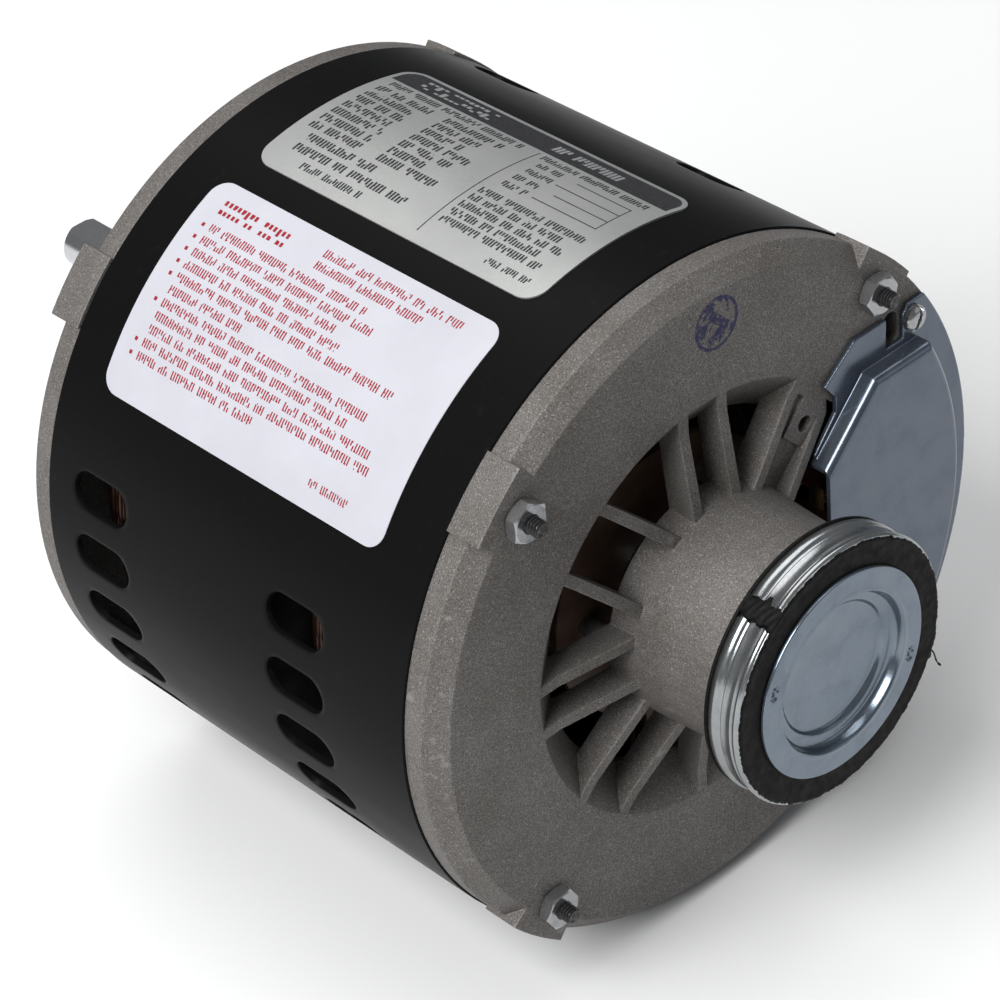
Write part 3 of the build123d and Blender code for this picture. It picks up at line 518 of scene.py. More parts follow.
def black_oxide():
    finish = Finish("black_oxide", (0.012, 0.012, 0.012), metallic=0.6, roughness=0.34)
    # painted highlight: convex edges and thread crests lighter grey
    finish.colour(finish.mix(finish.edges(0.66), (0.012, 0.012, 0.013), (0.1, 0.1, 0.1)))
    finish.bump(finish.noise(0.4, detail=3), 0.01)
    return finish.material


def paper():
    """Coated white label stock, faintly blue."""
    finish = Finish("paper", (0.6, 0.6, 0.68), roughness=0.45, specular_ior_level=0.3)
    clouds = finish.noise(18, detail=4)
    finish.colour(finish.ramp(clouds, (0.3, (0.32, 0.32, 0.35)), (0.7, (0.35, 0.35, 0.382))))
    finish.bump(finish.noise(14, detail=2, stretch=(1, 0.5, 1)), 0.1)
    finish.bump(finish.noise(0.35, detail=2), 0.004)
    return finish.material


def plate_metal():
    """Nameplate foil: satin silver with a fine even grain."""
    finish = Finish("plate_metal", (0.5, 0.51, 0.5), metallic=0.6, roughness=0.4)
    grain = finish.noise(0.3, detail=3)
    clouds = finish.noise(24, detail=2)
    finish.colour(finish.ramp(clouds, (0.3, (0.26, 0.264, 0.26)), (0.7, (0.315, 0.319, 0.311))))
    finish.rough(finish.ramp(grain, (0.35, 0.36), (0.7, 0.46)))
    finish.bump(grain, 0.004)
    return finish.material


def ink(name, tint):
    finish = Finish(name, tint, roughness=0.45, specular_ior_level=0.2)
    lighter = tuple(min(1.0, c * 1.4 + 0.01) for c in tint)
    finish.colour(finish.ramp(finish.noise(0.5, detail=3), (0.42, tint), (0.72, lighter)))
    return finish.material


def steel(name, tint, roughness, brush=(1, 1, 1)):
    finish = Finish(name, tint, metallic=1.0, roughness=roughness)
    streaks = finish.noise(0.7, detail=4, stretch=brush)
    darker = tuple(0.78 * c for c in tint)
    finish.colour(finish.ramp(streaks, (0.3, darker), (0.7, tint)))
    finish.rough(finish.ramp(streaks, (0.3, roughness * 0.8), (0.7, roughness * 1.3)))
    finish.bump(streaks, 0.008)
    return finish.material


def lamination_steel():
    """Blued stack of laminations: fine rings across the shaft axis, its colour partly its own
    blue-grey and partly painted shade of the motor's dark inside.
    """
    finish = Finish("lamination_steel", (0.07, 0.07, 0.08), metallic=0.8, roughness=0.45)
    sheets = finish.noise(0.5, detail=2, stretch=(0.02, 1, 0.02))
    # painted shade: the base is kept darker than the steel's own for the shade inside
    base = finish.ramp(sheets, (0.4, (0.02, 0.021, 0.025)), (0.6, (0.07, 0.07, 0.074)))
    rust = finish.ramp(finish.noise(5, detail=5), (0.6, 0.0), (0.8, 0.5))
    finish.colour(finish.mix(rust, base, (0.09, 0.045, 0.02)))
    finish.bump(sheets, 0.06)
    return finish.material


def copper():
    """Enamelled magnet wire under varnish, its strands running round the shaft; its colour is
    painted much darker than the wire's own, as the shade inside the motor.
    """
    finish = Finish("copper", (0.2, 0.06, 0.02), metallic=0.5, roughness=0.32)
    x, y, z = finish.split(finish.place)
    square = finish.calc("ADD", finish.calc("MULTIPLY", x, x), finish.calc("MULTIPLY", z, z))
    wander = finish.calc("MULTIPLY", finish.noise(9, detail=1), 0.004)
    across = finish.node("ShaderNodeCombineXYZ")
    finish.link(finish.calc("ADD", finish.calc("SQRT", square), wander), across.inputs[0])
    finish.link(y, across.inputs[1])
    strands = finish.node("ShaderNodeTexVoronoi", voronoi_dimensions="2D")
    finish.link(across.outputs[0], strands.inputs["Vector"])
    strands.inputs["Scale"].default_value = 1 / (1.1 * MM)
    strands.inputs["Randomness"].default_value = 0.5
    distance = strands.outputs["Distance"]
    clouds = finish.noise(6, detail=3)
    # painted shade: the wire's tone is kept near black for the shade inside the motor
    tone = finish.ramp(clouds, (0.3, (0.016, 0.006, 0.003)), (0.7, (0.042, 0.016, 0.008)))
    # painted shade: the gaps between strands are darker still
    gaps = finish.ramp(distance, (0.35, 0.0), (0.6, 0.9))
    finish.colour(finish.mix(gaps, tone, (0.008, 0.004, 0.003)))
    finish.bump(finish.ramp(distance, (0.0, 1.0), (0.6, 0.0)), 0.4)
    return finish.material


def plastic(name, tint, roughness):
    size = 0.8
    finish = Finish(name, tint, roughness=roughness)
    lighter = tuple(min(1.0, c * 1.25 + 0.01) for c in tint)
    finish.colour(finish.ramp(finish.noise(size * 4, detail=4), (0.35, tint), (0.7, lighter)))
    blotches = finish.noise(size * 3, detail=3)
    finish.rough(finish.ramp(blotches, (0.3, roughness * 0.85), (0.7, roughness * 1.2)))
    finish.bump(finish.noise(size, detail=3), 0.02)
    return finish.material


def cord_weave():
    finish = Finish("lacing_cord", (0.72, 0.7, 0.6), roughness=0.8)
    strands = finish.noise(0.5, detail=2, stretch=(1, 3, 1))
    finish.colour(finish.ramp(strands, (0.35, (0.5, 0.47, 0.38)), (0.65, (0.8, 0.78, 0.68))))
    finish.bump(strands, 0.12)
    return finish.material


LOOKS = {
    "cast": cast_aluminium(),
    "enamel": black_enamel(),
    "cover_zinc": zinc("cover_zinc", (0.1, 0.119, 0.15), 0.2, 0.75),
    "cap_zinc": zinc("cap_zinc", (0.15, 0.182, 0.22), 0.2, 0.85),
    "band_zinc": zinc("band_zinc", (0.27, 0.283, 0.29), 0.2, 0.92),
    "nut_zinc": zinc("nut_zinc", (0.33, 0.335, 0.345), 0.17, 0.88, blotch=2.0),
    "rubber": rubber(),
    "oxide": black_oxide(),
    "paper": paper(),
    "plate": plate_metal(),
    "red_ink": ink("red_ink", (0.17, 0.008, 0.014)),
    "black_ink": ink("black_ink", (0.012, 0.012, 0.014)),
    "ground_steel": steel("ground_steel", (0.62, 0.62, 0.63), 0.2, (1, 8, 1)),
    "bearing_steel": steel("bearing_steel", (0.6, 0.6, 0.61), 0.14),
    "spring_steel": steel("spring_steel", (0.4, 0.4, 0.41), 0.28),
    "lamination": lamination_steel(),
    "rotor_cast": steel("rotor_cast", (0.6, 0.6, 0.6), 0.4),
    "copper": copper(),
    # painted shade: the slot liners' pale film is tinted dark for the shade inside the motor
    "liner": plastic("liner_film", (0.3, 0.28, 0.22), 0.4),
    "cord": cord_weave(),
    "phenolic": plastic("phenolic", (0.055, 0.03, 0.018), 0.42),
    "nylon": plastic("nylon", (0.7, 0.66, 0.55), 0.45),
    "brass": steel("brass", (0.68, 0.48, 0.2), 0.24),
    "green": plastic("green_enamel", (0.02, 0.2, 0.06), 0.3),
    "lead": plastic("lead_insulation", (0.4, 0.03, 0.025), 0.4),
    "moulded": plastic("moulded_black", (0.012, 0.012, 0.013), 0.38),
}


# ---- shell

VENT_LENGTH = 18.0
VENT_WIDTH = 9.5
VENT_PITCH = 11.2
VENT_COUNT = 7
VENT_ROWS = (66.1, 131.0)
VENT_GROUPS = (-13.5, 166.5)  # angle of the first vent of each group
VENT_ROLL = 0.35              # how far a vent's edge is rolled in at the outside
TILE_COLUMNS = 8
TILE_ROWS = 16
TILE_HALF_LENGTH = 13.0


def stadium_point(direction, grow):
    """Where a ray from the middle of a vent, (along, around) in mm, meets its outline."""
    radius = VENT_WIDTH / 2 + grow
    straight = (VENT_LENGTH - VENT_WIDTH) / 2
    low, high = 0.0, 40.0
    for _ in range(36):
        middle = (low + high) / 2
        along, around = direction[0] * middle, direction[1] * middle
        if math.hypot(max(abs(along) - straight, 0), around) > radius:
            high = middle
        else:
            low = middle
    return direction[0] * low, direction[1] * low


def tile_border():
    """Unit-square points round a tile, in order."""
    points = [(i / TILE_ROWS, 0.0) for i in range(TILE_ROWS)]
    points += [(1.0, j / TILE_COLUMNS) for j in range(TILE_COLUMNS)]
    points += [(1 - i / TILE_ROWS, 1.0) for i in range(TILE_ROWS)]
    points += [(0.0, 1 - j / TILE_COLUMNS) for j in range(TILE_COLUMNS)]
    return points


def vent_outline(grow):
    """A tile's border and the vent's edge on the same rays, as (along, around) in mm."""
    border, edge = [], []
    for u, v in tile_border():
        along = (2 * u - 1) * TILE_HALF_LENGTH
        around = (v - 0.5) * math.radians(VENT_PITCH) * SHELL_RADIUS
        size = math.hypot(along, around)
        border.append((along, around))
        edge.append(stadium_point((along / size, around / size), grow))
    return border, edge


def beside(angle, station, radius, along, around):
    """A point at a distance along and around, in mm, from the middle of a vent."""
    return at(radius, angle + math.degrees(around / SHELL_RADIUS), station + along)


def vent_tile(angle, station, radius, grow):
    """Rings of points from a tile's border in to a vent's edge, and the faces between them."""
    border, edge = vent_outline(grow)
    rings = 3
    points = []
    for k in range(rings + 1):
        t = (k / rings) ** 0.7
        points += [beside(angle, station, radius, a + (c - a) * t, b + (d - b) * t)
                   for (a, b), (c, d) in zip(border, edge)]
    return points, woven(rings, len(border))


def vent_wall(angle, station):
    """The punched edge of a vent, rolled in a little at the outside."""
    steps = ((VENT_ROLL, SHELL_RADIUS), (0.1, SHELL_RADIUS - 0.12), (0.0, SHELL_RADIUS - 0.4),
             (0.0, SHELL_RADIUS - SHELL_THICKNESS))
    points = []
    for grow, radius in steps:
        border, edge = vent_outline(grow)
        points += [beside(angle, station, radius, *spot) for spot in edge]
    return points, woven(len(steps) - 1, len(border))


def spaced(low, high, count):
    return [low + (high - low) * k / count for k in range(count + 1)]


def skin(radius, angles, stations):
    """A grid on the shell between two lists of angles and stations."""
    points = [at(radius, a, s) for a in angles for s in stations]
    return points, turned_over(woven(len(angles) - 1, len(stations) - 1, around=False))


def shell():
    span = VENT_PITCH * VENT_COUNT
    plain_gap = (360 - 2 * span) / 2
    plain_columns = 72
    low, high = REAR_SEAM + 0.25, FRONT_SEAM - 0.25
    inner = SHELL_RADIUS - SHELL_THICKNESS
    rows = [(low, VENT_ROWS[0] - TILE_HALF_LENGTH, 3),
            (VENT_ROWS[0] + TILE_HALF_LENGTH, VENT_ROWS[1] - TILE_HALF_LENGTH, 20),
            (VENT_ROWS[1] + TILE_HALF_LENGTH, high, 12)]
    all_stations = []
    for start, end, count in rows:
        all_stations += spaced(start, end, count)
        if end < high:
            all_stations += spaced(end, end + 2 * TILE_HALF_LENGTH, TILE_ROWS)[1:-1]
    groups = []
    for first in VENT_GROUPS:
        begin = first - VENT_PITCH / 2
        groups.append((first, spaced(begin, begin + span, TILE_COLUMNS * VENT_COUNT),
                       spaced(begin + span, begin + span + plain_gap, plain_columns)))
    vents = [(first + step * VENT_PITCH, station) for first in VENT_GROUPS
             for step in range(VENT_COUNT) for station in VENT_ROWS]
    parts = []
    for radius, grow in ((SHELL_RADIUS, VENT_ROLL), (inner, 0.0)):
        for first, vented, plain in groups:
            for start, end, count in rows:
                parts.append(skin(radius, vented, spaced(start, end, count)))
            parts.append(skin(radius, plain, all_stations))
            parts += [vent_tile(first + step * VENT_PITCH, station, radius, grow)
                      for step in range(VENT_COUNT) for station in VENT_ROWS]
    parts += [vent_wall(*vent) for vent in vents]
    around = [angle for _, vented, plain in groups for angle in vented + plain]
    for station, rim in ((low, REAR_SEAM), (high, FRONT_SEAM)):
        steps = ((SHELL_RADIUS, station), (SHELL_RADIUS - 0.25, rim), (inner + 0.1, rim),
                 (inner, station))
        for pair in zip(steps, steps[1:]):
            points = [at(r, a, s) for a in around for r, s in pair]
            parts.append((points, turned_over(woven(len(around) - 1, 1, around=False))))
    piece("shell_skin", parts, "frame", LOOKS["enamel"], ["shell"])


# ---- cast endshields

def softened(node, name, depth, passes, keep):
    """A copy of a CAD node's mesh with the soft edges and fillets of a casting or pressing."""
    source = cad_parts[node]
    work = bpy.data.objects.new("work", source.data.copy())
    bpy.context.scene.collection.objects.link(work)
    remesh = work.modifiers.new("remesh", "REMESH")
    remesh.mode = "SHARP"
    remesh.octree_depth = depth
    remesh.scale = 0.99
    remesh.use_remove_disconnected = False
    smooth = work.modifiers.new("smooth", "SMOOTH")
    smooth.factor = 0.5
    smooth.iterations = passes
    thin = work.modifiers.new("thin", "DECIMATE")
    thin.ratio = keep
    ready = work.evaluated_get(bpy.context.evaluated_depsgraph_get())
    mesh = bpy.data.meshes.new_from_object(ready)
    mesh.name = name
    bpy.data.objects.remove(work)
    return mesh


def endshields():
    for node in ("front_endshield", "rear_endshield"):
        mesh = softened(node, node + "_cast", 9, 4, 0.3)
        placed(node + "_cast", mesh, "frame", LOOKS["cast"], [node], sharp=60)


# ---- terminal cover

def cover():
    mesh = softened("terminal_cover", "cover_pressing", 9, 14, 0.2)
    placed("cover_pressing", mesh, "terminal_cover", LOOKS["cover_zinc"],
           ["terminal_cover"], sharp=60)


# ---- ring mounts

BAND_HALF_GAP = 4.3           # degrees
NOTCH_HEIGHT = 42.3
LIP_HEIGHT = 46.4
TAG_ANGLE = -26.5             # where the tag of flash on the rubber's lip starts
TAG_SPAN = 16


def bead_path():
    """Outer line of the rolled band, from its inner edge to its outer one, as (radius, height)."""
    full, groove = RING_RADIUS, RING_RADIUS - 0.75
    steps = 6

    def bead(rise, middle, half):
        turns = [math.radians(a) for a in range(20, 161, 20)]
        return [(full - rise + rise * math.sin(turn), middle - half * math.cos(turn))
                for turn in turns]

    hollow = [(groove + 0.32 - 0.1 * math.sin(math.pi * k / steps), 41.5 + 2.4 * k / steps)
              for k in range(1, steps + 1)]
    return [(full - 0.7, 37.6), *bead(0.75, 39.2, 1.35),
            (groove, 40.85), (groove + 0.02, 41.2), (groove + 0.3, 41.5), *hollow,
            (groove, 44.25), (groove, 44.6), *bead(0.6, 45.5, 0.8),
            (full - 0.45, LIP_HEIGHT), (full - 0.9, 46.55)]


def ring_mount(place, end):
    inner = [(RING_RADIUS - 1.25, LIP_HEIGHT), (RING_RADIUS - 1.25, 37.75)]
    strip = lathe(torn(place), bead_path() + inner, 360, SPLIT_ANGLE + BAND_HALF_GAP,
                  360 - 2 * BAND_HALF_GAP)
    piece(end + "_band", [strip], "frame", LOOKS["band_zinc"], [end + "_mount_band"])
    body = eased((
        (RING_INNER, HUB_SHOULDER), (31.1, HUB_SHOULDER, 0.5), (31.7, 37.0, 0.3), (31.6, 37.6, 0.1),
        (RING_RADIUS - 1.2, 37.65), (RING_RADIUS - 1.2, 46.35), (RING_RADIUS - 0.55, 46.6, 0.1),
        (RING_RADIUS - 1.1, 46.85, 0.2), (29.6, 46.75, 0.8), (25.6, 46.8, 0.5),
        (RING_INNER, 46.6, 0.2),
    ), 0.15)
    parts = [ragged(place, body), split_swelling(place), flash_whisker(place)]
    piece(end + "_rubber", parts, "frame", LOOKS["rubber"], [end + "_mount_rubber"])


def torn(place):
    """The band's two cut ends are uneven, and the upper one has a round notch."""
    def cut(radius, angle, height):
        away = past(angle, SPLIT_ANGLE)
        side = 1 if away > 0 else -1
        near = max(0.0, 1 - (abs(away) - BAND_HALF_GAP) / 5)
        back = 0.5 + 0.45 * math.sin(2.3 * height + 2 * side) + 0.3 * math.sin(5.9 * height)
        if side < 0:
            back += 2.6 * hump(height, NOTCH_HEIGHT, 0.75, 4)
        return place(radius, angle + side * near * back, height)
    return cut


def ragged(place, outline):
    """The rubber ring, its outer lip uneven where it was trimmed, with a tag of flash left on."""
    def trimmed(radius, angle, height):
        if radius > RING_RADIUS - 1.15 and height > LIP_HEIGHT:
            around = math.radians(angle)
            wave = math.sin(around * 61) * math.sin(around * 17 + 0.4)
            wave += 0.6 * math.sin(around * 143 + 1.7)
            wave += math.sin(around * 29 + 0.6) * math.sin(around * 5)
            bite = max(0.0, math.sin(around * 23 + 1.1) * math.sin(around * 37 + 0.3) - 0.45)
            radius += 0.1 * wave - 0.5 * bite
            along = past(angle, TAG_ANGLE)
            if 0 < along < TAG_SPAN:
                radius += 0.7 * (1 - along / TAG_SPAN) ** 0.6
        return place(radius, angle, height)
    return lathe(trimmed, outline, 720)


def split_swelling(place):
    """Rubber that has come up through the gap between the band's ends, with torn edges."""
    stations = spaced(37.2, 46.7, 30)
    points = []
    columns = 14
    for height in stations:
        tear = 0.9 * math.sin(height * 2.3) + 0.6 * math.sin(height * 5.1 + 1.0)
        left = SPLIT_ANGLE - BAND_HALF_GAP - 1.4 + 0.5 * tear
        left -= 2.4 * hump(height, NOTCH_HEIGHT, 0.8, 4)
        right = SPLIT_ANGLE + BAND_HALF_GAP + 0.6 + 0.9 * math.sin(height * 1.9 + 2.0)
        for k in range(columns + 1):
            t = k / columns
            crown = math.sin(math.pi * t) ** 0.45
            lift = 1.1 * crown - 0.25 * (1 - crown) + 0.12 * math.sin(height * 3.7 + 9 * t)
            points.append(place(RING_RADIUS - 1.15 + lift, left + (right - left) * t, height))
    wide = columns + 1
    faces = woven(len(stations) - 1, columns, around=False)
    base = len(points)
    for height in (stations[0], stations[-1]):
        for angle in (SPLIT_ANGLE - BAND_HALF_GAP - 1.6, SPLIT_ANGLE + BAND_HALF_GAP + 1.0):
            points.append(place(RING_RADIUS - 2.2, angle, height))
    low_left, low_right, high_left, high_right = range(base, base + 4)
    top = (len(stations) - 1) * wide
    faces.append((*range(wide), low_right, low_left))
    faces.append((*range(top, top + wide), high_right, high_left))
    faces.append((*[r * wide for r in range(len(stations))], high_left, low_left))
    faces.append((*[r * wide + columns for r in range(len(stations))], high_right, low_right))
    faces.append((low_left, low_right, high_right, high_left))
    return points, faces


def flash_whisker(place):
    """A thin tail of moulding flash on the rubber's lip, with a blob at its end."""
    points = []
    steps, sides = 20, 8
    for k in range(steps + 1):
        t = k / steps
        radius = RING_RADIUS - 0.8 + 6.6 * t
        angle = -22.5 - 8.0 * t + 0.5 * math.sin(7 * t)
        thick = 0.17 + 0.1 * (1 - t) ** 3 + 0.24 * hump(t, 0.93, 0.07)
        thick += 0.08 * hump(t, 0.6, 0.05)
        centre = place(radius, angle, 46.5 - 0.5 * t)
        for s in range(sides):
            turn = 2 * math.pi * s / sides
            out = Vector((math.cos(turn), math.sin(turn), 0.5 * math.sin(turn)))
            points.append(centre + out * thick * MM)
    ends = [tuple(range(sides)), tuple(steps * sides + s for s in range(sides))]
    return points, woven(steps, sides) + ends


CAP_RADIUS = 24.8
CUP_RADIUS = 19.2
CUP_FLOOR = 43.75             # 0.95 below the CAD's, as deep as the cap's own metal allows
STAKE_RADIUS = 22.3
STAKE_ANGLES = (160.2, 340.2)
STAKE_SIDE = 2.1              # degrees from the middle of a pair to each of its stakes


def staked(place):
    """The cap's flange dips at its two pairs of stakes, round a small raised bead."""
    def pressed(radius, angle, height):
        if height > CAP_TOP - 0.6:
            for middle in STAKE_ANGLES:
                for side in (-STAKE_SIDE, STAKE_SIDE):
                    around = radius * math.radians(past(angle - middle, side))
                    away = math.hypot(radius - STAKE_RADIUS, around)
                    height -= 0.75 * hump(away, 0, 0.95, 4)
                    height += 0.8 * hump(away, 0, 0.42)
                height = min(height, CAP_TOP)
        return place(radius, angle, height)
    return pressed


def hub_cap(place, end, bore):
    steps = 18
    flange = [(CUP_RADIUS + 0.35, CAP_TOP), (CUP_RADIUS + 0.75, CAP_TOP - 0.08)]
    flange += [(CUP_RADIUS + 1.1 + (CAP_RADIUS - CUP_RADIUS - 1.4) * k / steps, CAP_TOP - 0.15)
               for k in range(steps + 1)]
    inside = [
        (bore, CUP_FLOOR), (CUP_RADIUS - 4.6, CUP_FLOOR), (CUP_RADIUS - 4.1, 43.85),
        (CUP_RADIUS - 3.75, 44.2),
        (CUP_RADIUS - 3.5, 44.7), (CUP_RADIUS - 3.2, 44.95), (CUP_RADIUS - 2.8, 45.05),
        (CUP_RADIUS - 1.9, 45.1), (CUP_RADIUS - 1.3, 45.25), (CUP_RADIUS - 0.85, 45.7),
        (CUP_RADIUS - 0.6, 46.4), (CUP_RADIUS - 0.35, 47.2), (CUP_RADIUS - 0.1, 47.6),
        (CUP_RADIUS + 0.1, 47.77),
    ]
    edge = [(CAP_RADIUS - 0.12, CAP_TOP - 0.22), (CAP_RADIUS, CAP_TOP - 0.4), (CAP_RADIUS, 46.85)]
    under = [(20.0, 46.8), (20.0, 44.4), (CUP_RADIUS - 2.0, 44.4), (CUP_RADIUS - 2.0, 43.6),
             (bore, 43.6)]
    outline = inside + flange + edge + under
    part = lathe(staked(place), outline, 720)
    piece(end + "_cap", [part], "frame", LOOKS["cap_zinc"], [end + "_hub_cap"],
          sharp=50)


# ---- bolts, nuts, screws

COVER_SCREW = (64.2, 41.0)    # X, and Z either side of the shaft
SCREW_SEAT = FRONT_SEAM + FACE_HEIGHT + 1.2


def fasteners():
    rear_face = REAR_SEAM - FACE_HEIGHT
    nut_low = FRONT_SEAM + FACE_HEIGHT
    shanks, nuts = [], []
    for angle in BOLT_ANGLES:
        seat = along_axis(at(BOLT_CIRCLE, angle, nut_low), (0, -1, 0))
        nuts.append(moved(hexagon_nut(angle + NUT_TURN), seat))
        tip = thread(BOLT_RADIUS, 2.6, 6.35)
        nib = rod(0.8, 6.2, 6.4, 0.1)
        shank = rod(BOLT_RADIUS - THREAD_DEPTH, rear_face - nut_low, 2.7)
        shanks += [moved(part, seat) for part in (tip, nib, shank)]
        head_seat = along_axis(at(BOLT_CIRCLE, angle, rear_face), (0, 1, 0))
        shanks.append(moved(slotted_head(4.3, 2.5, math.radians(1.7 * angle)), head_seat))
    piece("bolts", shanks, "frame", LOOKS["oxide"], ["through_bolts"])
    piece("nuts", nuts, "frame", LOOKS["nut_zinc"], ["through_bolt_nuts"], sharp=25)


def cover_screws():
    parts = []
    for side in (-1, 1):
        centre = Vector((COVER_SCREW[0], -SCREW_SEAT, side * COVER_SCREW[1])) * MM
        seat = along_axis(centre, (0, -1, 0))
        parts.append(moved(slotted_head(3.1, 2.3, math.radians(62)), seat))
        parts.append(moved(rod(1.6, -8.0, 0.3), seat))
    piece("cover_screw_heads", parts, "terminal_cover", LOOKS["nut_zinc"],
          ["cover_screws"])


# ---- nameplate and label

PRINT_LIFT = 0.012            # of the ink above its sheet
PLATE = {"angles": (72.6, 106.9), "stations": (62.9, 150.9), "thick": 0.45, "corner": 5.0}
LABEL = {"angles": (112.0, 149.4), "stations": (60.3, 150.5), "thick": 0.18, "corner": 4.5}


class Sheet:
    """A flat layout wrapped on the shell: u along the shaft from the shaft end, v downwards."""

    def __init__(self, spec):
        self.low, self.high = spec["angles"]
        self.start, self.end = spec["stations"]
        self.thick = spec["thick"]
        self.corner = spec["corner"]
        self.width = self.end - self.start
        self.height = math.radians(self.high - self.low) * SHELL_RADIUS

    def point(self, u, v, lift):
        angle = self.low + math.degrees(v / SHELL_RADIUS)
        return at(SHELL_RADIUS + lift, angle, self.start + u)

    def patch(self, u0, v0, u1, v1, lift):
        """One printed bar."""
        rows = max(1, int((v1 - v0) / 2.5))
        points = [self.point(u, v, lift) for u in spaced(u0, u1, 1) for v in spaced(v0, v1, rows)]
        return points, woven(1, rows, around=False)

    def inset(self, u, margin):
        """How far the rounded corners pull the edge in at u, with a margin."""
        radius = self.corner - margin
        near = min(u - margin, self.width - margin - u)
        if near >= radius:
            return margin
        away = radius - max(near, 0.0)
        return margin + radius - math.sqrt(max(radius * radius - away * away, 0.0))

    def columns(self, margin, corner, count):
        """Places along the sheet, closer together round its corners."""
        arc = [corner * (1 - math.cos(math.radians(a))) for a in range(0, 91, 10)]
        middle = spaced(margin + corner, self.width - margin - corner, count)[1:-1]
        return ([margin + a for a in arc] + middle
                + [self.width - margin - a for a in reversed(arc)])

    def blank(self):
        """The sheet itself, with rounded corners and its edge thickness."""
        us = self.columns(0.0, self.corner, 24)
        rows = 26
        points = []
        for lift in (-0.05, self.thick):
            for u in us:
                pull = self.inset(u, 0.0)
                points += [self.point(u, v, lift) for v in spaced(pull, self.height - pull, rows)]
        n = rows + 1
        base = len(us) * n
        side = woven(len(us) - 1, rows, around=False)
        faces = side + [tuple(base + corner for corner in face) for face in side]
        rim = [i * n for i in range(len(us))] + [(len(us) - 1) * n + j for j in range(1, n)]
        rim += [i * n + rows for i in reversed(range(len(us) - 1))] + list(reversed(range(1, rows)))
        faces += [(a, b, b + base, a + base) for a, b in zip(rim, rim[1:] + rim[:1])]
        return points, faces


def words(sheet, u, v, reach, height, lift, weight=0.19):
    """Illegible print: pairs of fine strokes grouped like words, from u as far as reach."""
    parts = []
    stroke = weight * height
    pitch = 0.78 * height
    while u < reach - pitch:
        for _ in range(random.randint(2, 8)):
            if u > reach - pitch:
                break
            for across in (0.0, 0.4 * height):
                tall = height * random.choice((1.0, 1.0, 0.8, 0.55))
                top = v + random.choice((0.0, height - tall))
                parts.append(sheet.patch(u + across, top, u + across + stroke, top + tall, lift))
            bar = v + (height - stroke) * random.choice((0.0, 0.45, 1.0))
            parts.append(sheet.patch(u + stroke, bar, u + 0.3 * height, bar + stroke, lift))
            u += pitch
        u += 0.7 * pitch
    return parts


def label():
    sheet = Sheet(LABEL)
    piece("label_stock", [sheet.blank()], "frame", LOOKS["paper"], ["info_label"])
    lift = sheet.thick + PRINT_LIFT
    parts = words(sheet, 6, 4.2, 29, 3.6, lift, 0.24)
    parts += words(sheet, 38, 3.2, 83, 2.0, lift)
    parts += words(sheet, 38, 6.4, 73, 2.0, lift)
    rows = ((1, 0.66), (1, 0.74), (1, 0.63), (1, 0.66), (1, 0.9), (0, 0.34), (1, 0.86), (0, 0.8),
            (0, 0.92), (1, 0.93), (1, 0.52))
    for index, (bullet, reach) in enumerate(rows):
        v = 10.4 + 3.2 * index
        if bullet:
            parts.append(sheet.patch(4.3, v + 0.6, 5.2, v + 1.5, lift))
        parts += words(sheet, 7.0, v, 4 + reach * (sheet.width - 8), 2.0, lift)
    parts += words(sheet, 66, 47.4, 79, 1.8, lift)
    piece("label_print", parts, "frame", LOOKS["red_ink"], closed=False)


def header(sheet, lift):
    """The nameplate's printed bar, which follows its top edge and two corners."""
    edge, corner, deep = 1.2, 4.0, 8.6
    rows = 5
    us = sheet.columns(edge, corner, 20)
    points = []
    for u in us:
        top = min(sheet.inset(u, edge), deep - 0.1)
        points += [sheet.point(u, v, lift) for v in spaced(top, deep, rows)]
    return points, woven(len(us) - 1, rows, around=False)


def nameplate():
    sheet = Sheet(PLATE)
    piece("nameplate_foil", [sheet.blank()], "frame", LOOKS["plate"],
          ["nameplate"])
    lift = sheet.thick + PRINT_LIFT
    bold = 0.24
    parts = [header(sheet, lift)]
    parts += words(sheet, 3.5, 9.6, 47, 2.1, lift, bold)
    for index in range(7):
        v = 13.0 + 3.3 * index
        parts += words(sheet, 3.0, v, 21, 2.4, lift, bold)
        parts += words(sheet, 25.0, v, 44 - 3 * (index % 3), 2.4, lift, bold)
    for u, v, reach, height in ((6.0, 36.6, 30, 2.4), (6.0, 40.4, 42, 2.4), (12.0, 44.4, 32, 2.0),
                                (52, 9.8, 84, 2.0)):
        parts += words(sheet, u, v, reach, height, lift, bold)
    parts.append(sheet.patch(50.0, 9.6, 50.3, 46.5, lift))
    for index, v in enumerate((14.0, 17.5, 21.0, 24.5)):
        parts.append(sheet.patch(66 - 3 * (index % 2), v, 82, v + 0.3, lift))
        parts += words(sheet, 54, v - 1.0, 62, 2.0, lift, bold)
    parts.append(sheet.patch(82, 14.0, 82.3, 24.8, lift))
    for index in range(5):
        parts += words(sheet, 52, 28.2 + 2.9 * index, 84 - 4 * (index % 2), 2.1, lift, bold)
    parts += words(sheet, 70, 44.2, 84, 1.8, lift, bold)
    piece("nameplate_print", parts, "frame", LOOKS["black_ink"], closed=False)
    title = words(sheet, 8.0, 2.7, 34, 4.2, lift + PRINT_LIFT, 0.3)
    title += words(sheet, 50.0, 3.4, 74, 3.0, lift + PRINT_LIFT, 0.26)
    piece("nameplate_title", title, "frame", LOOKS["plate"], closed=False)


# ---- CAD nodes that stay

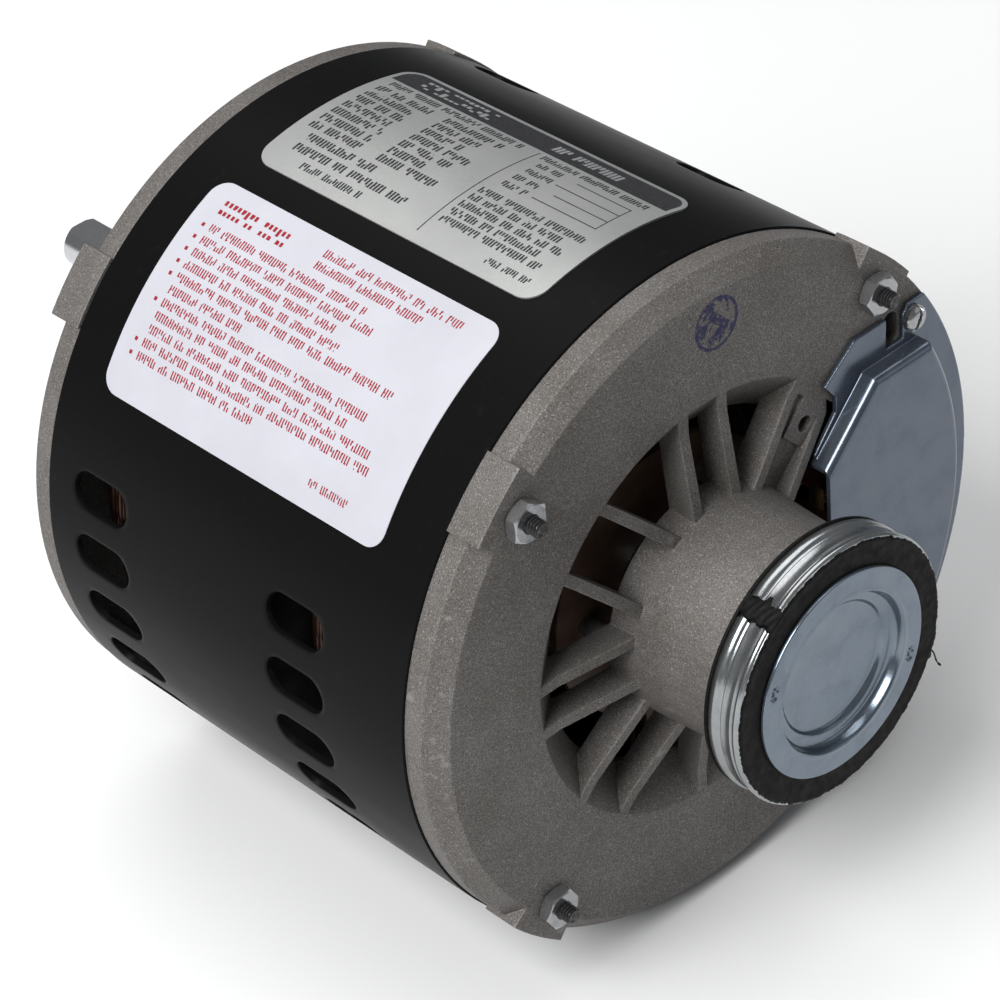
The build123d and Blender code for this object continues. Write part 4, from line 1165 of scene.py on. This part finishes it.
KEPT = {
    "cap_zinc": ("front_mount_sleeve", "rear_mount_sleeve"),
    "bearing_steel": ("front_bearing_outer", "front_bearing_inner", "front_bearing_cage",
                      "front_bearing_shields", "rear_bearing_outer", "rear_bearing_inner",
                      "rear_bearing_cage", "rear_bearing_shields"),
    "spring_steel": ("wave_spring", "governor_carrier", "governor_pins", "governor_weight_a",
                     "governor_weight_b", "switch_arm", "switch_pivot"),
    "lamination": ("stator_core", "rotor_core"),
    "liner": ("slot_liners",),
    "copper": ("main_winding", "start_winding"),
    "cord": ("winding_lacing",),
    "rotor_cast": ("rotor_cage",),
    "ground_steel": ("shaft",),
    "rubber": ("shaft_slinger",),
    "nylon": ("governor_collar",),
    "phenolic": ("switch_board", "terminal_board"),
    "brass": ("switch_contact", "terminal_tabs"),
    "nut_zinc": ("switch_screws", "terminal_screws"),
    "moulded": ("overload_protector",),
    "green": ("ground_screw",),
    "lead": ("internal_leads",),
}


def governor_spring():
    """The governor's return spring, as its own copy of the CAD mesh on the rotor."""
    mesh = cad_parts["governor_spring"].data.copy()
    coil = placed("governor_coil", mesh, "rotor", LOOKS["spring_steel"],
                  ["governor_spring"])
    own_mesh(coil)


def dress_frame():
    """A material for each CAD node that stays."""
    for look, names in KEPT.items():
        for name in names:
            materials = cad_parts[name].data.materials
            materials.clear()
            materials.append(LOOKS[look])


# ---- stage

def stage():
    floor_mesh = bpy.data.meshes.new("floor")
    reach = 12.0
    level = cad_box[0].z - 0.0002
    corners = [(x * reach, y * reach, level) for x, y in ((-1, -1), (1, -1), (1, 1), (-1, 1))]
    floor_mesh.from_pydata(corners, [], [(0, 1, 2, 3)])
    floor = bpy.data.objects.new("floor", floor_mesh)
    bpy.context.scene.collection.objects.link(floor)
    pale = Finish("pale_floor", (0.62, 0.62, 0.62), roughness=0.9)
    floor_mesh.materials.append(pale.material)


def area_light(name, place, target, size, power, colour=(1, 1, 1)):
    data = bpy.data.lights.new(name, "AREA")
    data.shape = "RECTANGLE"
    data.size, data.size_y = size
    data.energy = power
    data.color = colour
    lamp = bpy.data.objects.new(name, data)
    lamp.location = place
    lamp.rotation_mode = "QUATERNION"
    lamp.rotation_quaternion = (Vector(target) - Vector(place)).to_track_quat("-Z", "Y")
    bpy.context.scene.collection.objects.link(lamp)


def studio():
    world = bpy.data.worlds.new("studio")
    bpy.context.scene.world = world
    world.use_nodes = True
    sky = world.node_tree.nodes["Background"]
    sky.inputs["Color"].default_value = (0.93, 0.96, 1.0, 1)
    sky.inputs["Strength"].default_value = 0.2
    middle = (0.0, -0.1, 0.0)
    area_light("key", (-1.35, -0.3, 1.3), middle, (1.2, 1.2), 62)
    area_light("top", (0.3, 0.2, 1.7), middle, (1.7, 1.7), 26)
    area_light("front_fill", (0.9, -1.4, 0.7), middle, (0.9, 0.9), 1.5, (0.9, 0.95, 1.0))
    bpy.context.scene.view_settings.view_transform = "Standard"


def camera():
    data = bpy.data.cameras.new("camera")
    data.sensor_width = 36
    data.lens = 135.9
    eye = bpy.data.objects.new("camera", data)
    right = Vector((0.7200, -0.6901, -0.0725))
    up = Vector((0.4591, 0.3956, 0.7953))
    back = right.cross(up).normalized()
    up = back.cross(right).normalized()
    turn = Matrix((right.normalized(), up, back)).transposed().to_4x4()
    eye.matrix_world = Matrix.Translation((-0.4495, -0.6308, 0.5133)) @ turn
    bpy.context.scene.collection.objects.link(eye)
    bpy.context.scene.camera = eye


shell()
endshields()
cover()
for place, end in ((front, "front"), (rear, "rear")):
    ring_mount(place, end)
hub_cap(front, "front", 0.0)
hub_cap(rear, "rear", 7.4)
fasteners()
cover_screws()
label()
nameplate()
governor_spring()
dress_frame()
stage()
studio()
camera()
